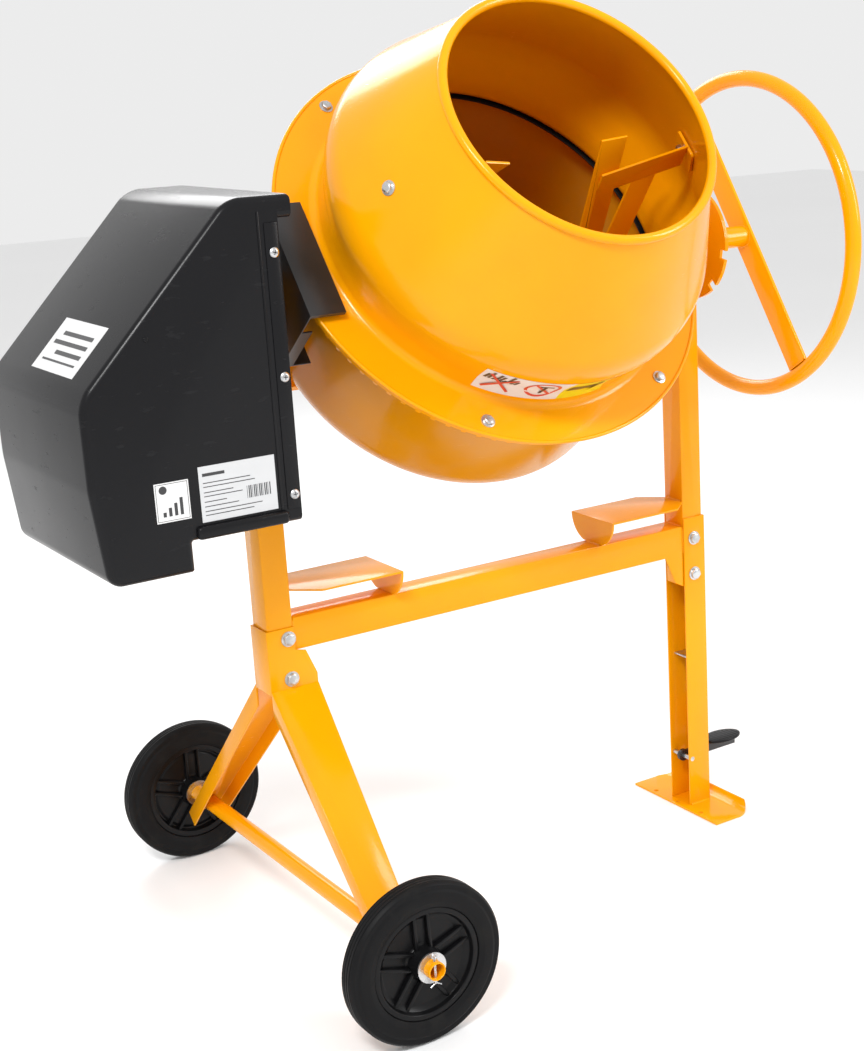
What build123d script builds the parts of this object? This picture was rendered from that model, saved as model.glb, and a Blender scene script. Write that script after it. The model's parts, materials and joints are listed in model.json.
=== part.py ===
"""Portable electric concrete mixer with a tilting drum on a two-wheeled frame.

X runs across the machine from the drive housing to the handwheel, Y runs from the
front, where the drum opens, to the back, and Z is up. The origin is on the ground,
midway between the outermost points in X and Y. All sizes are in millimetres.
"""
from build123d import *
import math
import os

os.makedirs("parts", exist_ok=True)

# Frame tubes
span = 742.0                # upright centre to upright centre
tube_width = 40.0           # uprights, across the machine
tube_depth = 45.0           # uprights and crossbeam, front to back
tube_wall = 2.0
beam_height = 48.0
beam_top = 492.0            # above the ground
plate = 3.0                 # bent plate: leg head, legs, shelves, drive plate
gusset_low = 390.0          # foot of the plate under the crossbeam's right end
bolt_radius = 5.0           # M10 frame bolts
bolt_hole = 5.4

# Tilting
tilt_height = 943.0         # tilt axis above the ground
drum_tilt = 51.8            # drum axis from the vertical, towards the front
trunnion_radius = 17.0
trunnion_bore = 13.0
housing_radius = 26.0
bush_wall = 3.0
running_gap = 0.05          # radial clearance of a running fit
arm_thickness = 12.0
arm_width = 60.0
arm_gap = 6.0               # drum flange edge to yoke arm
yoke_floor_gap = 40.0       # drum bottom to yoke crossbar
yoke_corner = 60.0          # inside its bends

# Drum, heights along its own axis from the tilt axis
flange_radius = 325.0
flange_height = 61.0        # top face of the upper flange
neck_radius = 264.0
belly_radius = 288.0
belly_height = 165.0
mouth_radius = 193.5
mouth_height = 347.0
bead_radius = 6.5
bowl_radius = 281.0
bowl_taper = 4.0            # how much narrower the bowl is at its bottom
bowl_bottom = 185.0         # below the tilt axis
bowl_corner = 55.0
sheet = 2.5
seal_thickness = 2.0
drum_bolt_circle = 303.0
drum_bolt_count = 6
drum_bolt_radius = 4.0

# Gear pair
crown_teeth = 88
pinion_teeth = 12
crown_pitch_radius = 302.0
gear_face = 28.0
tooth_height = 11.5
tooth_clearance = 1.5
crown_body = 7.0            # thickness of the ring behind its teeth
tooth_root_width = 11.0
tooth_tip_width = 6.0
shaft_radius = 10.0

# Belt drive and motor
pulley_radius = 120.0
motor_pulley_radius = 9.0
pulley_width = 16.0
belt_width = 12.0
belt_thickness = 4.0
belt_gap = 0.3
motor_height = 740.0
motor_radius = 58.0
motor_length = 160.0
motor_shaft_radius = 8.0
motor_end_radius = 5.0

# Drive housing, X from the left upright's centre
cover_reach = 296.0
cover_depth = 330.0
cover_top = 1083.0
cover_floor = 628.0
cover_step_floor = 668.0    # floor of the part beside the upright
cover_step = 171.0
cover_shoulder = 84.5
cover_hip_height = 862.0
cover_wall = 3.0
cover_lip_floor = 1054.0
cover_lip = 19.0            # how far the top lip reaches over the upright
screw_radius = 3.0
screw_heights = (1013.0, 857.0, 705.0)

# Wheels and axle
wheel_radius = 112.5
wheel_width = 34.0
wheel_track = 762.0         # over the outer faces of the tyres
rim_radius = 78.0
hub_radius = 19.0
hub_length = 44.0
axle_radius = 12.5
axle_length = 804.0
spoke_pairs = 5

# Wheel legs
head_top = 480.0
head_bottom = 386.0
leg_top_width = 74.0
leg_foot_width = 50.0
leg_foot_reach = 333.0      # outer face of a leg at its foot, from the middle
leg_foot_height = 88.0
leg_flange = 25.0

# Foot leg
foot_leg_top = 505.0
foot_plate_length = 220.0
foot_plate_width = 84.0
foot_plate_thickness = 4.0
foot_hole_radius = 4.0
foot_hole_spacing = 60.0

# Shelves on the crossbeam
shelf_height = 42.0         # above the beam
shelf_width = 110.0
shelf_inner_end = 187.0     # from the drum axis

# Handwheel
handwheel_offset = 142.0    # ring plane from the right upright's centre
handwheel_radius = 246.0
handwheel_tube = 12.5
spoke_angle = 57.0          # spoke below the horizontal, towards the front
spoke_width = 42.0
spoke_thickness = 6.0

# Tilt lock
disc_radius = 88.0
disc_thickness = 6.0
disc_offset = 25.0          # disc's inner face from the right upright's centre
notch_depth = 12.0
notch_width = 14.0
lock_stops = (-90.0, -45.0, 0.0, 40.0, 80.0)
tongue_width = 10.0
tongue_gap = 1.0            # tongue below the rim with the lock open
rod_radius = 4.0
rod_offset = 11.0
pedal_height = 86.0
pedal_pivot_offset = -13.0
lever_thickness = 6.0
lever_depth = 16.0

# Derived places
left_reach = span / 2 + cover_reach
right_reach = span / 2 + handwheel_offset + handwheel_tube
drum_x = (left_reach - right_reach) / 2
left_x = drum_x - span / 2
right_x = drum_x + span / 2
half_tube = tube_width / 2
half_depth = tube_depth / 2
beam_bottom = beam_top - beam_height
arm_inner = flange_radius + arm_gap
arm_outer = arm_inner + arm_thickness
bush_radius = trunnion_radius + bush_wall
lean = math.radians(drum_tilt)
drum_axis = Vector(0, -math.sin(lean), math.cos(lean))
drum_back = Vector(0, math.cos(lean), math.sin(lean))
tilt_centre = Vector(drum_x, 0, tilt_height)
revolve_axis = Axis(tilt_centre, drum_axis)


def drum_plane(height):
    """Plane square to the drum axis, a height above the tilt axis."""
    return Plane(tilt_centre + drum_axis * height, x_dir=(1, 0, 0), z_dir=drum_axis)


def side_plane(x):
    """Upright plane at x that faces +X, with Y across and Z up."""
    return Plane((x, 0, 0), x_dir=(0, 1, 0), z_dir=(1, 0, 0))


def front_plane(y):
    """Upright plane at y that faces the back, with Z across and X up."""
    return Plane((0, y, 0), x_dir=(0, 0, 1), z_dir=(0, 1, 0))


profile_plane = Plane(tilt_centre, x_dir=(1, 0, 0), z_dir=-drum_back)
flange_sheet = flange_height - sheet
bowl_flange_top = flange_sheet - seal_thickness
bowl_flange_bottom = bowl_flange_top - sheet

# ---------------------------------------------------------------- frame
left_bolt_x = left_x + half_tube / 2
left_bolt_heights = (464.0, 405.0)
right_bolt_heights = (470.0, 410.0)
upright_foot = head_bottom + 4

with BuildPart() as left_upright:
    with BuildSketch(Plane((left_x, 0, upright_foot))):
        Rectangle(tube_width, tube_depth)
        Rectangle(tube_width - 2 * tube_wall, tube_depth - 2 * tube_wall, mode=Mode.SUBTRACT)
    extrude(amount=tilt_height - upright_foot)
    with BuildSketch(side_plane(left_x - half_tube)):
        with Locations((0, tilt_height)):
            Circle(housing_radius)
    extrude(amount=tube_width, mode=Mode.SUBTRACT)
    with BuildSketch(front_plane(-half_depth)):
        for height in left_bolt_heights:
            with Locations((height, left_bolt_x)):
                Circle(bolt_hole)
    extrude(amount=tube_depth, mode=Mode.SUBTRACT)
left_upright.part.label = "left_upright"
export_step(left_upright.part, "parts/left_upright.step")

rod_x = right_x + rod_offset
tongue_top = tilt_height - disc_radius - tongue_gap
tongue_height = 26.0
tongue_rise = 9.0           # how far the tongue rises into a notch
tongue_fall = 4.0           # how far it sinks below rest

with BuildPart() as right_upright:
    with BuildSketch(Plane((right_x, 0, upright_foot))):
        Rectangle(tube_width, tube_depth)
        Rectangle(tube_width - 2 * tube_wall, tube_depth - 2 * tube_wall, mode=Mode.SUBTRACT)
    extrude(amount=tilt_height - upright_foot)
    with BuildSketch(side_plane(right_x - half_tube)):
        with Locations((0, tilt_height)):
            Circle(housing_radius)
    extrude(amount=tube_width, mode=Mode.SUBTRACT)
    with BuildSketch(front_plane(-half_depth)):
        for height in right_bolt_heights:
            with Locations((height, right_x)):
                Circle(bolt_hole)
    extrude(amount=tube_depth, mode=Mode.SUBTRACT)
    slot_low = tongue_top - tongue_height - tongue_fall - 2
    slot_high = tongue_top + tongue_rise + 2
    with BuildSketch(side_plane(right_x + half_tube - 2 * tube_wall)):
        with Locations((0, (slot_low + slot_high) / 2)):
            Rectangle(tongue_width + 1, slot_high - slot_low)
    extrude(amount=3 * tube_wall, mode=Mode.SUBTRACT)
right_upright.part.label = "right_upright"
export_step(right_upright.part, "parts/right_upright.step")

with BuildPart() as crossbeam:
    with BuildSketch(side_plane(left_x + half_tube)):
        with Locations((0, beam_top - beam_height / 2)):
            Rectangle(tube_depth, beam_height)
            Rectangle(tube_depth - 2 * tube_wall, beam_height - 2 * tube_wall, mode=Mode.SUBTRACT)
    extrude(amount=span - tube_width)
    gusset_x = right_x - half_tube
    with BuildSketch(front_plane(-half_depth)):
        with BuildLine():
            Polyline(
                (beam_bottom, gusset_x - 36), (beam_bottom, gusset_x), (gusset_low, gusset_x),
                (gusset_low + 9, gusset_x - 17), close=True)
        make_face()
    extrude(amount=plate)
crossbeam.part.label = "crossbeam"
export_step(crossbeam.part, "parts/crossbeam.step")

with BuildPart() as bearing_housings:
    for upright_x in (left_x, right_x):
        with BuildSketch(side_plane(upright_x - half_tube)):
            with Locations((0, tilt_height)):
                Circle(housing_radius)
                Circle(bush_radius, mode=Mode.SUBTRACT)
        extrude(amount=tube_width)
bearing_housings.part.label = "bearing_housings"
export_step(bearing_housings.part, "parts/bearing_housings.step")

with BuildPart() as trunnion_bushes:
    for upright_x in (left_x, right_x):
        with BuildSketch(side_plane(upright_x - half_tube)):
            with Locations((0, tilt_height)):
                Circle(bush_radius)
                Circle(trunnion_radius + running_gap, mode=Mode.SUBTRACT)
        extrude(amount=tube_width)
trunnion_bushes.part.label = "trunnion_bushes"
export_step(trunnion_bushes.part, "parts/trunnion_bushes.step")

# The leg head wraps the left upright and flares under the crossbeam.
head_left = left_x - half_tube - plate
head_right = head_left + leg_top_width
head_front = half_depth + plate

with BuildPart() as leg_head:
    with BuildSketch(Plane((0, 0, head_bottom))):
        with Locations((left_x - half_tube - plate / 2, 0)):
            Rectangle(plate, 2 * head_front)
    extrude(amount=head_top - head_bottom)
    for side in (-1, 1):
        with BuildSketch(front_plane(side * half_depth)):
            with BuildLine():
                Polyline(
                    (head_top, head_left), (head_top, left_x + half_tube),
                    (beam_bottom + 2, left_x + half_tube), (beam_bottom - 2, left_x + half_tube + 16),
                    (left_bolt_heights[1], head_right), (head_bottom, head_right),
                    (head_bottom, head_left), close=True)
            make_face()
            for height in left_bolt_heights:
                with Locations((height, left_bolt_x)):
                    Circle(bolt_hole, mode=Mode.SUBTRACT)
        extrude(amount=side * plate)
leg_head.part.label = "leg_head"
export_step(leg_head.part, "parts/leg_head.step")

# Each wheel leg is a channel whose web faces outwards and whose width tapers.
leg_top_height = head_bottom + 6
leg_run = leg_foot_reach - head_front
leg_drop = leg_top_height - leg_foot_height
leg_length = math.hypot(leg_run, leg_drop)
axle_z = wheel_radius
axle_x = left_x

with BuildPart() as wheel_legs:
    for side in (-1, 1):
        outward = Vector(0, side * leg_drop, leg_run).normalized()
        web = Plane((head_left, side * head_front, leg_top_height), x_dir=(1, 0, 0), z_dir=outward)
        down = side * leg_length
        over = -side * leg_flange
        with BuildSketch(web):
            with BuildLine():
                Polyline((0, over), (leg_top_width, over), (leg_top_width, 0),
                         (leg_foot_width, down), (0, down), close=True)
            make_face()
        extrude(amount=-plate)
        with BuildSketch(web):
            with BuildLine():
                Polyline((0, over), (plate, over), (plate, down), (0, down), close=True)
            make_face()
            with BuildLine():
                Polyline((leg_top_width, over), (leg_top_width, 0), (leg_foot_width, down),
                         (leg_foot_width - plate, down), (leg_top_width - plate, 0),
                         (leg_top_width - plate, over), close=True)
            make_face()
        extrude(amount=-leg_flange)
    with Locations((head_left + leg_top_width / 2, 0, head_bottom)):
        Box(2 * leg_top_width, 2 * head_front, 2 * beam_top, mode=Mode.SUBTRACT)
    with BuildSketch(front_plane(-axle_length / 2)):
        with Locations((axle_z, axle_x)):
            Circle(axle_radius)
    extrude(amount=axle_length, mode=Mode.SUBTRACT)
wheel_legs.part.label = "wheel_legs"
export_step(wheel_legs.part, "parts/wheel_legs.step")

wheel_outer = wheel_track / 2
wheel_middle = wheel_outer - wheel_width / 2
hub_inner = wheel_middle - hub_length / 2
hub_outer = wheel_middle + hub_length / 2
washer_thickness = 2.5
washer_gap = 0.3
pin_y = axle_length / 2 - 6

with BuildPart() as axle_tube:
    with BuildSketch(front_plane(-axle_length / 2)):
        with Locations((axle_z, axle_x)):
            Circle(axle_radius)
            Circle(axle_radius - tube_wall, mode=Mode.SUBTRACT)
    extrude(amount=axle_length)
    for side in (-1, 1):
        with Locations((axle_x, side * pin_y, axle_z)):
            Cylinder(2.2, 3 * axle_radius, mode=Mode.SUBTRACT)
axle_tube.part.label = "axle_tube"
export_step(axle_tube.part, "parts/axle_tube.step")

with BuildPart() as axle_washers:
    for side in (-1, 1):
        for start in (hub_inner - washer_gap - washer_thickness, hub_outer + washer_gap):
            with BuildSketch(front_plane(side * start)):
                with Locations((axle_z, axle_x)):
                    Circle(hub_radius + 2)
                    Circle(axle_radius, mode=Mode.SUBTRACT)
            extrude(amount=side * washer_thickness)
axle_washers.part.label = "axle_washers"
export_step(axle_washers.part, "parts/axle_washers.step")

with BuildPart() as split_pins:
    for side in (-1, 1):
        with Locations((axle_x, side * pin_y, axle_z)):
            Cylinder(2.2, 2 * axle_radius + 12)
        with Locations((axle_x, side * pin_y, axle_z + axle_radius + 8)):
            Sphere(4.5)
split_pins.part.label = "split_pins"
export_step(split_pins.part, "parts/split_pins.step")

for name, side in (("near", -1), ("far", 1)):
    with BuildPart() as tyre:
        with BuildSketch(front_plane(side * wheel_outer - wheel_width * (side + 1) / 2)):
            with Locations((axle_z, axle_x)):
                Circle(wheel_radius)
                Circle(rim_radius, mode=Mode.SUBTRACT)
        extrude(amount=wheel_width)
        fillet(tyre.edges().filter_by(GeomType.CIRCLE).group_by(SortBy.RADIUS)[-1], 8)
    tyre.part.label = name + "_tyre"
    export_step(tyre.part, "parts/" + name + "_tyre.step")

    with BuildPart() as rim:
        with BuildSketch(front_plane(side * wheel_middle)):
            with Locations((axle_z, axle_x)):
                Circle(rim_radius)
                Circle(rim_radius - 9, mode=Mode.SUBTRACT)
        extrude(amount=13, both=True)
        with BuildSketch(front_plane(side * wheel_middle)):
            with Locations((axle_z, axle_x)):
                Circle(hub_radius)
        extrude(amount=hub_length / 2, both=True)
        with BuildSketch(front_plane(side * wheel_middle)):
            with Locations((axle_z, axle_x)):
                with PolarLocations(0, spoke_pairs):
                    with Locations(((rim_radius + 6) / 2, -10), ((rim_radius + 6) / 2, 10)):
                        Rectangle(rim_radius - 16, 5)
                Circle(rim_radius - 4, mode=Mode.INTERSECT)
        extrude(amount=8, both=True)
        with BuildSketch(front_plane(side * wheel_middle)):
            with Locations((axle_z, axle_x)):
                Circle(rim_radius - 4)
        extrude(amount=-side * 4)
        with BuildSketch(front_plane(side * wheel_middle)):
            with Locations((axle_z, axle_x)):
                Circle(axle_radius + running_gap)
        extrude(amount=hub_length, both=True, mode=Mode.SUBTRACT)
    rim.part.label = name + "_rim"
    export_step(rim.part, "parts/" + name + "_rim.step")

# Foot leg: a channel open towards the wheels, bolted round the right upright.
web_x = right_x + half_tube
channel_slot_low = pedal_height - 18
channel_slot_high = pedal_height + 28
guide_plate_height = 262.0
guide_screw_heights = (248.0, 192.0)
guide_screw_radius = 3.0

with BuildPart() as foot_leg:
    with BuildSketch(Plane((0, 0, foot_plate_thickness))):
        with Locations((right_x + plate / 2, 0)):
            Rectangle(tube_width + plate, tube_depth + 2 * plate)
        with Locations((right_x, 0)):
            Rectangle(tube_width, tube_depth, mode=Mode.SUBTRACT)
    extrude(amount=foot_leg_top - foot_plate_thickness)
    with BuildSketch(front_plane(-half_depth - 2 * plate)):
        for height in right_bolt_heights:
            with Locations((height, right_x)):
                Circle(bolt_hole)
        with Locations((pedal_height, right_x + pedal_pivot_offset)):
            Circle(4)
    extrude(amount=tube_depth + 4 * plate, mode=Mode.SUBTRACT)
    with BuildSketch(side_plane(web_x)):
        with Locations((0, (channel_slot_low + channel_slot_high) / 2)):
            Rectangle(lever_thickness + 2, channel_slot_high - channel_slot_low)
        for height in guide_screw_heights:
            with Locations((0, height)):
                Circle(guide_screw_radius)
    extrude(amount=plate, mode=Mode.SUBTRACT)
foot_leg.part.label = "foot_leg"
export_step(foot_leg.part, "parts/foot_leg.step")

# Foot plate: flat under the leg, its outer edge turned up, its outer corners rounded.
foot_plate_left = right_x - half_tube - 14
foot_turn_up = 14.0

with BuildPart() as foot_plate:
    with BuildSketch(Plane((0, -foot_plate_length / 2, 0), x_dir=(1, 0, 0), z_dir=(0, -1, 0))):
        with BuildLine():
            flat = Line((foot_plate_left, 0), (foot_plate_left + foot_plate_width - 24, 0))
            turn = TangentArc(flat @ 1, (foot_plate_left + foot_plate_width, foot_turn_up), tangent=(1, 0))
            upper_end = turn @ 1 + Vector(-0.77, 0.64) * foot_plate_thickness
            edge = Line(turn @ 1, upper_end)
            top_start = Vector(foot_plate_left + foot_plate_width - 24, foot_plate_thickness)
            back = TangentArc(top_start, upper_end, tangent=(1, 0))
            top = Line(top_start, (foot_plate_left, foot_plate_thickness))
            Line(top @ 1, flat @ 0)
        make_face()
    extrude(amount=-foot_plate_length)
    with BuildSketch():
        with Locations((foot_plate_left + foot_plate_width / 2, 0)):
            outline = Rectangle(foot_plate_width, foot_plate_length)
        fillet(outline.vertices().group_by(Axis.X)[-1], 38)
        fillet(outline.vertices().group_by(Axis.X)[0], 10)
        with Locations((foot_plate_left + 8, 0)):
            with GridLocations(1, foot_hole_spacing, 1, 3):
                Circle(foot_hole_radius, mode=Mode.SUBTRACT)
    extrude(amount=3 * foot_turn_up, mode=Mode.INTERSECT)
foot_plate.part.label = "foot_plate"
export_step(foot_plate.part, "parts/foot_plate.step")

# Shelves: a plate over each end of the crossbeam with one end folded down onto it.
shelf_top = beam_top + shelf_height
shelf_outer_end = span / 2 - half_tube
shelf_cut = 34.0

with BuildPart() as shelf_brackets:
    for side in (-1, 1):
        flap_x = drum_x + side * shelf_inner_end
        wall_x = drum_x + side * shelf_outer_end
        with BuildSketch(Plane.XY.offset(shelf_top - plate)):
            with BuildLine():
                Polyline(
                    (flap_x, -shelf_width / 2), (wall_x - side * shelf_cut, -shelf_width / 2),
                    (wall_x, -half_depth), (wall_x, half_depth),
                    (wall_x - side * shelf_cut, shelf_width / 2), (flap_x, shelf_width / 2), close=True)
            make_face()
        extrude(amount=plate)
        with BuildSketch(side_plane(flap_x)):
            with BuildLine():
                upper = Line((-shelf_width / 2, shelf_top), (shelf_width / 2, shelf_top))
                right = TangentArc(upper @ 1, (half_depth, beam_top), tangent=(0, -1))
                lower = Line(right @ 1, (-half_depth, beam_top))
                TangentArc(upper @ 0, lower @ 1, tangent=(0, -1))
            make_face()
        extrude(amount=side * plate)
shelf_brackets.part.label = "shelf_brackets"
export_step(shelf_brackets.part, "parts/shelf_brackets.step")

bolt_places = [(left_bolt_x, height) for height in left_bolt_heights]
bolt_places += [(right_x, height) for height in right_bolt_heights]
bolt_end = head_front + 14

with BuildPart() as frame_bolts:
    for bolt_x, height in bolt_places:
        with BuildSketch(front_plane(-head_front)):
            with Locations((height, bolt_x)):
                Circle(bolt_radius)
        extrude(amount=head_front + bolt_end)
        with BuildSketch(front_plane(-head_front)):
            with Locations((height, bolt_x)):
                Circle(10)
        extrude(amount=-6, taper=25)
frame_bolts.part.label = "frame_bolts"
export_step(frame_bolts.part, "parts/frame_bolts.step")

with BuildPart() as frame_nuts:
    for bolt_x, height in bolt_places:
        with BuildSketch(front_plane(head_front)):
            with Locations((height, bolt_x)):
                RegularPolygon(9, 6)
                Circle(bolt_radius, mode=Mode.SUBTRACT)
        extrude(amount=8)
frame_nuts.part.label = "frame_nuts"
export_step(frame_nuts.part, "parts/frame_nuts.step")

# ---------------------------------------------------------------- drive housing
cover_left = left_x - cover_reach
cover_right = left_x - half_tube
inner_depth = cover_depth - 2 * cover_wall
tray_right = cover_right
tray_left = tray_right - plate
tray_depth = inner_depth - 1
tray_low = cover_step_floor + cover_wall + 1
tray_high = cover_lip_floor - cover_wall - 1
tray_flange = 20.0
screw_x = tray_left - 6


cover_layers = ((0, cover_depth, Mode.ADD), (cover_wall, inner_depth, Mode.SUBTRACT))
cover_bends = (
    (cover_top, left_x - cover_shoulder, 45), (cover_hip_height, cover_left, 50),
    (750, cover_left, 90), (cover_floor, cover_left + 13, 20), (cover_top, left_x - 1, 5))

with BuildPart() as motor_cover:
    for inset, depth, action in cover_layers:
        with BuildSketch(front_plane(-depth / 2)) as outline:
            with BuildLine():
                Polyline(
                    (cover_lip_floor, cover_right + cover_lip), (cover_top, left_x - 1),
                    (cover_top, left_x - cover_shoulder), (cover_hip_height, cover_left),
                    (750, cover_left), (cover_floor, cover_left + 13),
                    (cover_floor, left_x - cover_step), (cover_step_floor, left_x - cover_step),
                    (cover_step_floor, cover_right), (cover_lip_floor, cover_right), close=True)
            make_face()
            for height, across, bend in cover_bends:
                fillet(outline.vertices().sort_by_distance((height, across, 0))[0], bend)
            offset(amount=-inset, kind=Kind.INTERSECTION)
        extrude(amount=depth, mode=action)
    mouth_high = cover_lip_floor - cover_wall
    mouth_low = cover_step_floor + cover_wall
    with Locations((cover_right, 0, (mouth_low + mouth_high) / 2)):
        Box(3 * cover_wall, inner_depth, mouth_high - mouth_low, mode=Mode.SUBTRACT)
    with BuildSketch(front_plane(-cover_depth / 2)):
        for height in screw_heights:
            with Locations((height, screw_x)):
                Circle(screw_radius)
    extrude(amount=cover_depth, mode=Mode.SUBTRACT)
motor_cover.part.label = "motor_cover"
export_step(motor_cover.part, "parts/motor_cover.step")

with BuildPart() as drive_plate:
    with BuildSketch(side_plane(tray_left)):
        with Locations((0, (tray_low + tray_high) / 2)):
            Rectangle(tray_depth, tray_high - tray_low)
        with Locations((0, tilt_height)):
            Circle(housing_radius + 4, mode=Mode.SUBTRACT)
    extrude(amount=plate)
    for side in (-1, 1):
        with BuildSketch(Plane.XY.offset(tray_low)):
            with Locations((tray_left - tray_flange / 2, side * (tray_depth - plate) / 2)):
                Rectangle(tray_flange, plate)
        extrude(amount=tray_high - tray_low)
    with BuildSketch(front_plane(-cover_depth / 2)):
        for height in screw_heights:
            with Locations((height, screw_x)):
                Circle(screw_radius)
    extrude(amount=cover_depth, mode=Mode.SUBTRACT)
drive_plate.part.label = "drive_plate"
export_step(drive_plate.part, "parts/drive_plate.step")

with BuildPart() as cover_screws:
    for side in (-1, 1):
        for height in screw_heights:
            with BuildSketch(front_plane(side * cover_depth / 2)):
                with Locations((height, screw_x)):
                    Circle(6.5)
            extrude(amount=side * 3, taper=20)
            with BuildSketch(front_plane(side * cover_depth / 2)):
                with Locations((height, screw_x)):
                    Circle(screw_radius)
            extrude(amount=-side * 12)
cover_screws.part.label = "cover_screws"
export_step(cover_screws.part, "parts/cover_screws.step")

# Motor on a cradle, below the large pulley, with its shaft towards the drive plate.
motor_front = left_x - 95
motor_back = motor_front - motor_length
cradle_top = motor_height - motor_radius - 6

with BuildPart() as motor_cradle:
    with BuildSketch(Plane.XY.offset(cradle_top - plate)):
        with Locations(((motor_back + 20 + tray_left) / 2, 0)):
            Rectangle(tray_left - motor_back - 20, 130)
    extrude(amount=plate)
motor_cradle.part.label = "motor_cradle"
export_step(motor_cradle.part, "parts/motor_cradle.step")

core_radius = 38.0
with BuildPart() as motor_housing:
    with BuildSketch(side_plane(motor_back)):
        with Locations((0, motor_height)):
            Circle(motor_radius)
            with PolarLocations(motor_radius, 24):
                Rectangle(6, 3)
        with Locations((0, (cradle_top + motor_height) / 2)):
            Rectangle(90, motor_height - cradle_top)
    extrude(amount=motor_length)
    with BuildSketch(side_plane(motor_back + 10)):
        with Locations((0, motor_height)):
            Circle(core_radius + 2)
    extrude(amount=motor_length - 20, mode=Mode.SUBTRACT)
    with BuildSketch(side_plane(motor_back + 5)):
        with Locations((0, motor_height)):
            Circle(motor_shaft_radius + running_gap)
    extrude(amount=motor_length, mode=Mode.SUBTRACT)
motor_housing.part.label = "motor_housing"
export_step(motor_housing.part, "parts/motor_housing.step")

pulley_right = left_x - 34
pulley_left = pulley_right - pulley_width
belt_left = pulley_left + (pulley_width - belt_width) / 2

with BuildPart() as motor_rotor:
    with BuildSketch(side_plane(motor_back + 14)):
        with Locations((0, motor_height)):
            Circle(core_radius)
    extrude(amount=motor_length - 28)
    with BuildSketch(side_plane(motor_back + 6)):
        with Locations((0, motor_height)):
            Circle(motor_shaft_radius)
    extrude(amount=motor_length + 10)
    with BuildSketch(side_plane(motor_front)):
        with Locations((0, motor_height)):
            Circle(motor_end_radius)
    extrude(amount=pulley_right - motor_front)
motor_rotor.part.label = "motor_rotor"
export_step(motor_rotor.part, "parts/motor_rotor.step")

with BuildPart() as motor_pulley:
    with BuildSketch(side_plane(pulley_left)):
        with Locations((0, motor_height)):
            Circle(motor_pulley_radius)
            Circle(motor_end_radius, mode=Mode.SUBTRACT)
    extrude(amount=pulley_width)
motor_pulley.part.label = "motor_pulley"
export_step(motor_pulley.part, "parts/motor_pulley.step")

with BuildPart() as drive_pulley:
    with BuildSketch(side_plane(pulley_left)):
        with Locations((0, tilt_height)):
            Circle(pulley_radius)
            Circle(pulley_radius - 10, mode=Mode.SUBTRACT)
    extrude(amount=pulley_width)
    with BuildSketch(side_plane(pulley_left + 5)):
        with Locations((0, tilt_height)):
            Circle(pulley_radius - 5)
            with PolarLocations(70, 5):
                Circle(22, mode=Mode.SUBTRACT)
    extrude(amount=6)
    with BuildSketch(side_plane(pulley_left)):
        with Locations((0, tilt_height)):
            Circle(20)
    extrude(amount=pulley_width)
    with BuildSketch(side_plane(pulley_left)):
        with Locations((0, tilt_height)):
            Circle(shaft_radius)
    extrude(amount=pulley_width, mode=Mode.SUBTRACT)
drive_pulley.part.label = "drive_pulley"
export_step(drive_pulley.part, "parts/drive_pulley.step")

with BuildPart() as drive_belt:
    for growth, action in ((belt_gap + belt_thickness, Mode.ADD), (belt_gap, Mode.SUBTRACT)):
        with BuildSketch(side_plane(belt_left)):
            with Locations((0, tilt_height)):
                Circle(pulley_radius + growth)
            with Locations((0, motor_height)):
                Circle(motor_pulley_radius + growth)
            make_hull()
        extrude(amount=belt_width, mode=action)
drive_belt.part.label = "drive_belt"
export_step(drive_belt.part, "parts/drive_belt.step")

# Switch with its two buttons and the mains inlet, on the back of the housing.
switch_x = left_x - 130
switch_height = 800.0
switch_width = 70.0
switch_tall = 110.0
switch_depth = 32.0
switch_back = cover_depth / 2 + switch_depth
button_radius = 11.0
button_gap = 0.4
button_spread = 22.0
button_proud = 4.0
button_travel = 3.0
button_pocket = 10.0
inlet_height = 24.0

with BuildPart() as switch_box:
    with BuildSketch(front_plane(cover_depth / 2)):
        with Locations((switch_height, switch_x)):
            RectangleRounded(switch_tall, switch_width, 8)
    extrude(amount=switch_depth)
    with BuildSketch(front_plane(switch_back)):
        for step in (-1, 1):
            with Locations((switch_height + 10 + step * button_spread, switch_x)):
                Circle(button_radius + button_gap)
    extrude(amount=-button_pocket, mode=Mode.SUBTRACT)
switch_box.part.label = "switch_box"
export_step(switch_box.part, "parts/switch_box.step")

for name, step in (("stop_button", -1), ("start_button", 1)):
    with BuildPart() as button:
        with BuildSketch(front_plane(switch_back + button_proud)):
            with Locations((switch_height + 10 + step * button_spread, switch_x)):
                Circle(button_radius)
        extrude(amount=-(button_pocket + button_proud - button_travel - 1))
        fillet(button.edges().group_by(Axis.Y)[-1], 1.5)
    button.part.label = name
    export_step(button.part, "parts/" + name + ".step")

with BuildPart() as mains_inlet:
    inlet_top = switch_height - switch_tall / 2
    inlet_y = cover_depth / 2 + switch_depth / 2
    with BuildSketch(Plane((switch_x, inlet_y, inlet_top))):
        RectangleRounded(36, 26, 5)
    extrude(amount=-inlet_height)
    with BuildSketch(Plane((switch_x, inlet_y, inlet_top - inlet_height))):
        RectangleRounded(30, 20, 4)
    extrude(amount=inlet_height - 6, mode=Mode.SUBTRACT)
    with BuildSketch(Plane((switch_x, inlet_y, inlet_top - 6))):
        for pin in (-8, 0, 8):
            with Locations((pin, 3 if pin == 0 else -3)):
                Rectangle(2, 6)
    extrude(amount=-14)
mains_inlet.part.label = "mains_inlet"
export_step(mains_inlet.part, "parts/mains_inlet.step")

# ---------------------------------------------------------------- yoke
yoke_inner_floor = -(bowl_bottom + yoke_floor_gap)
yoke_outer_floor = yoke_inner_floor - arm_thickness
axle_core = 15.0
axle_thread = 10.0

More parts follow.
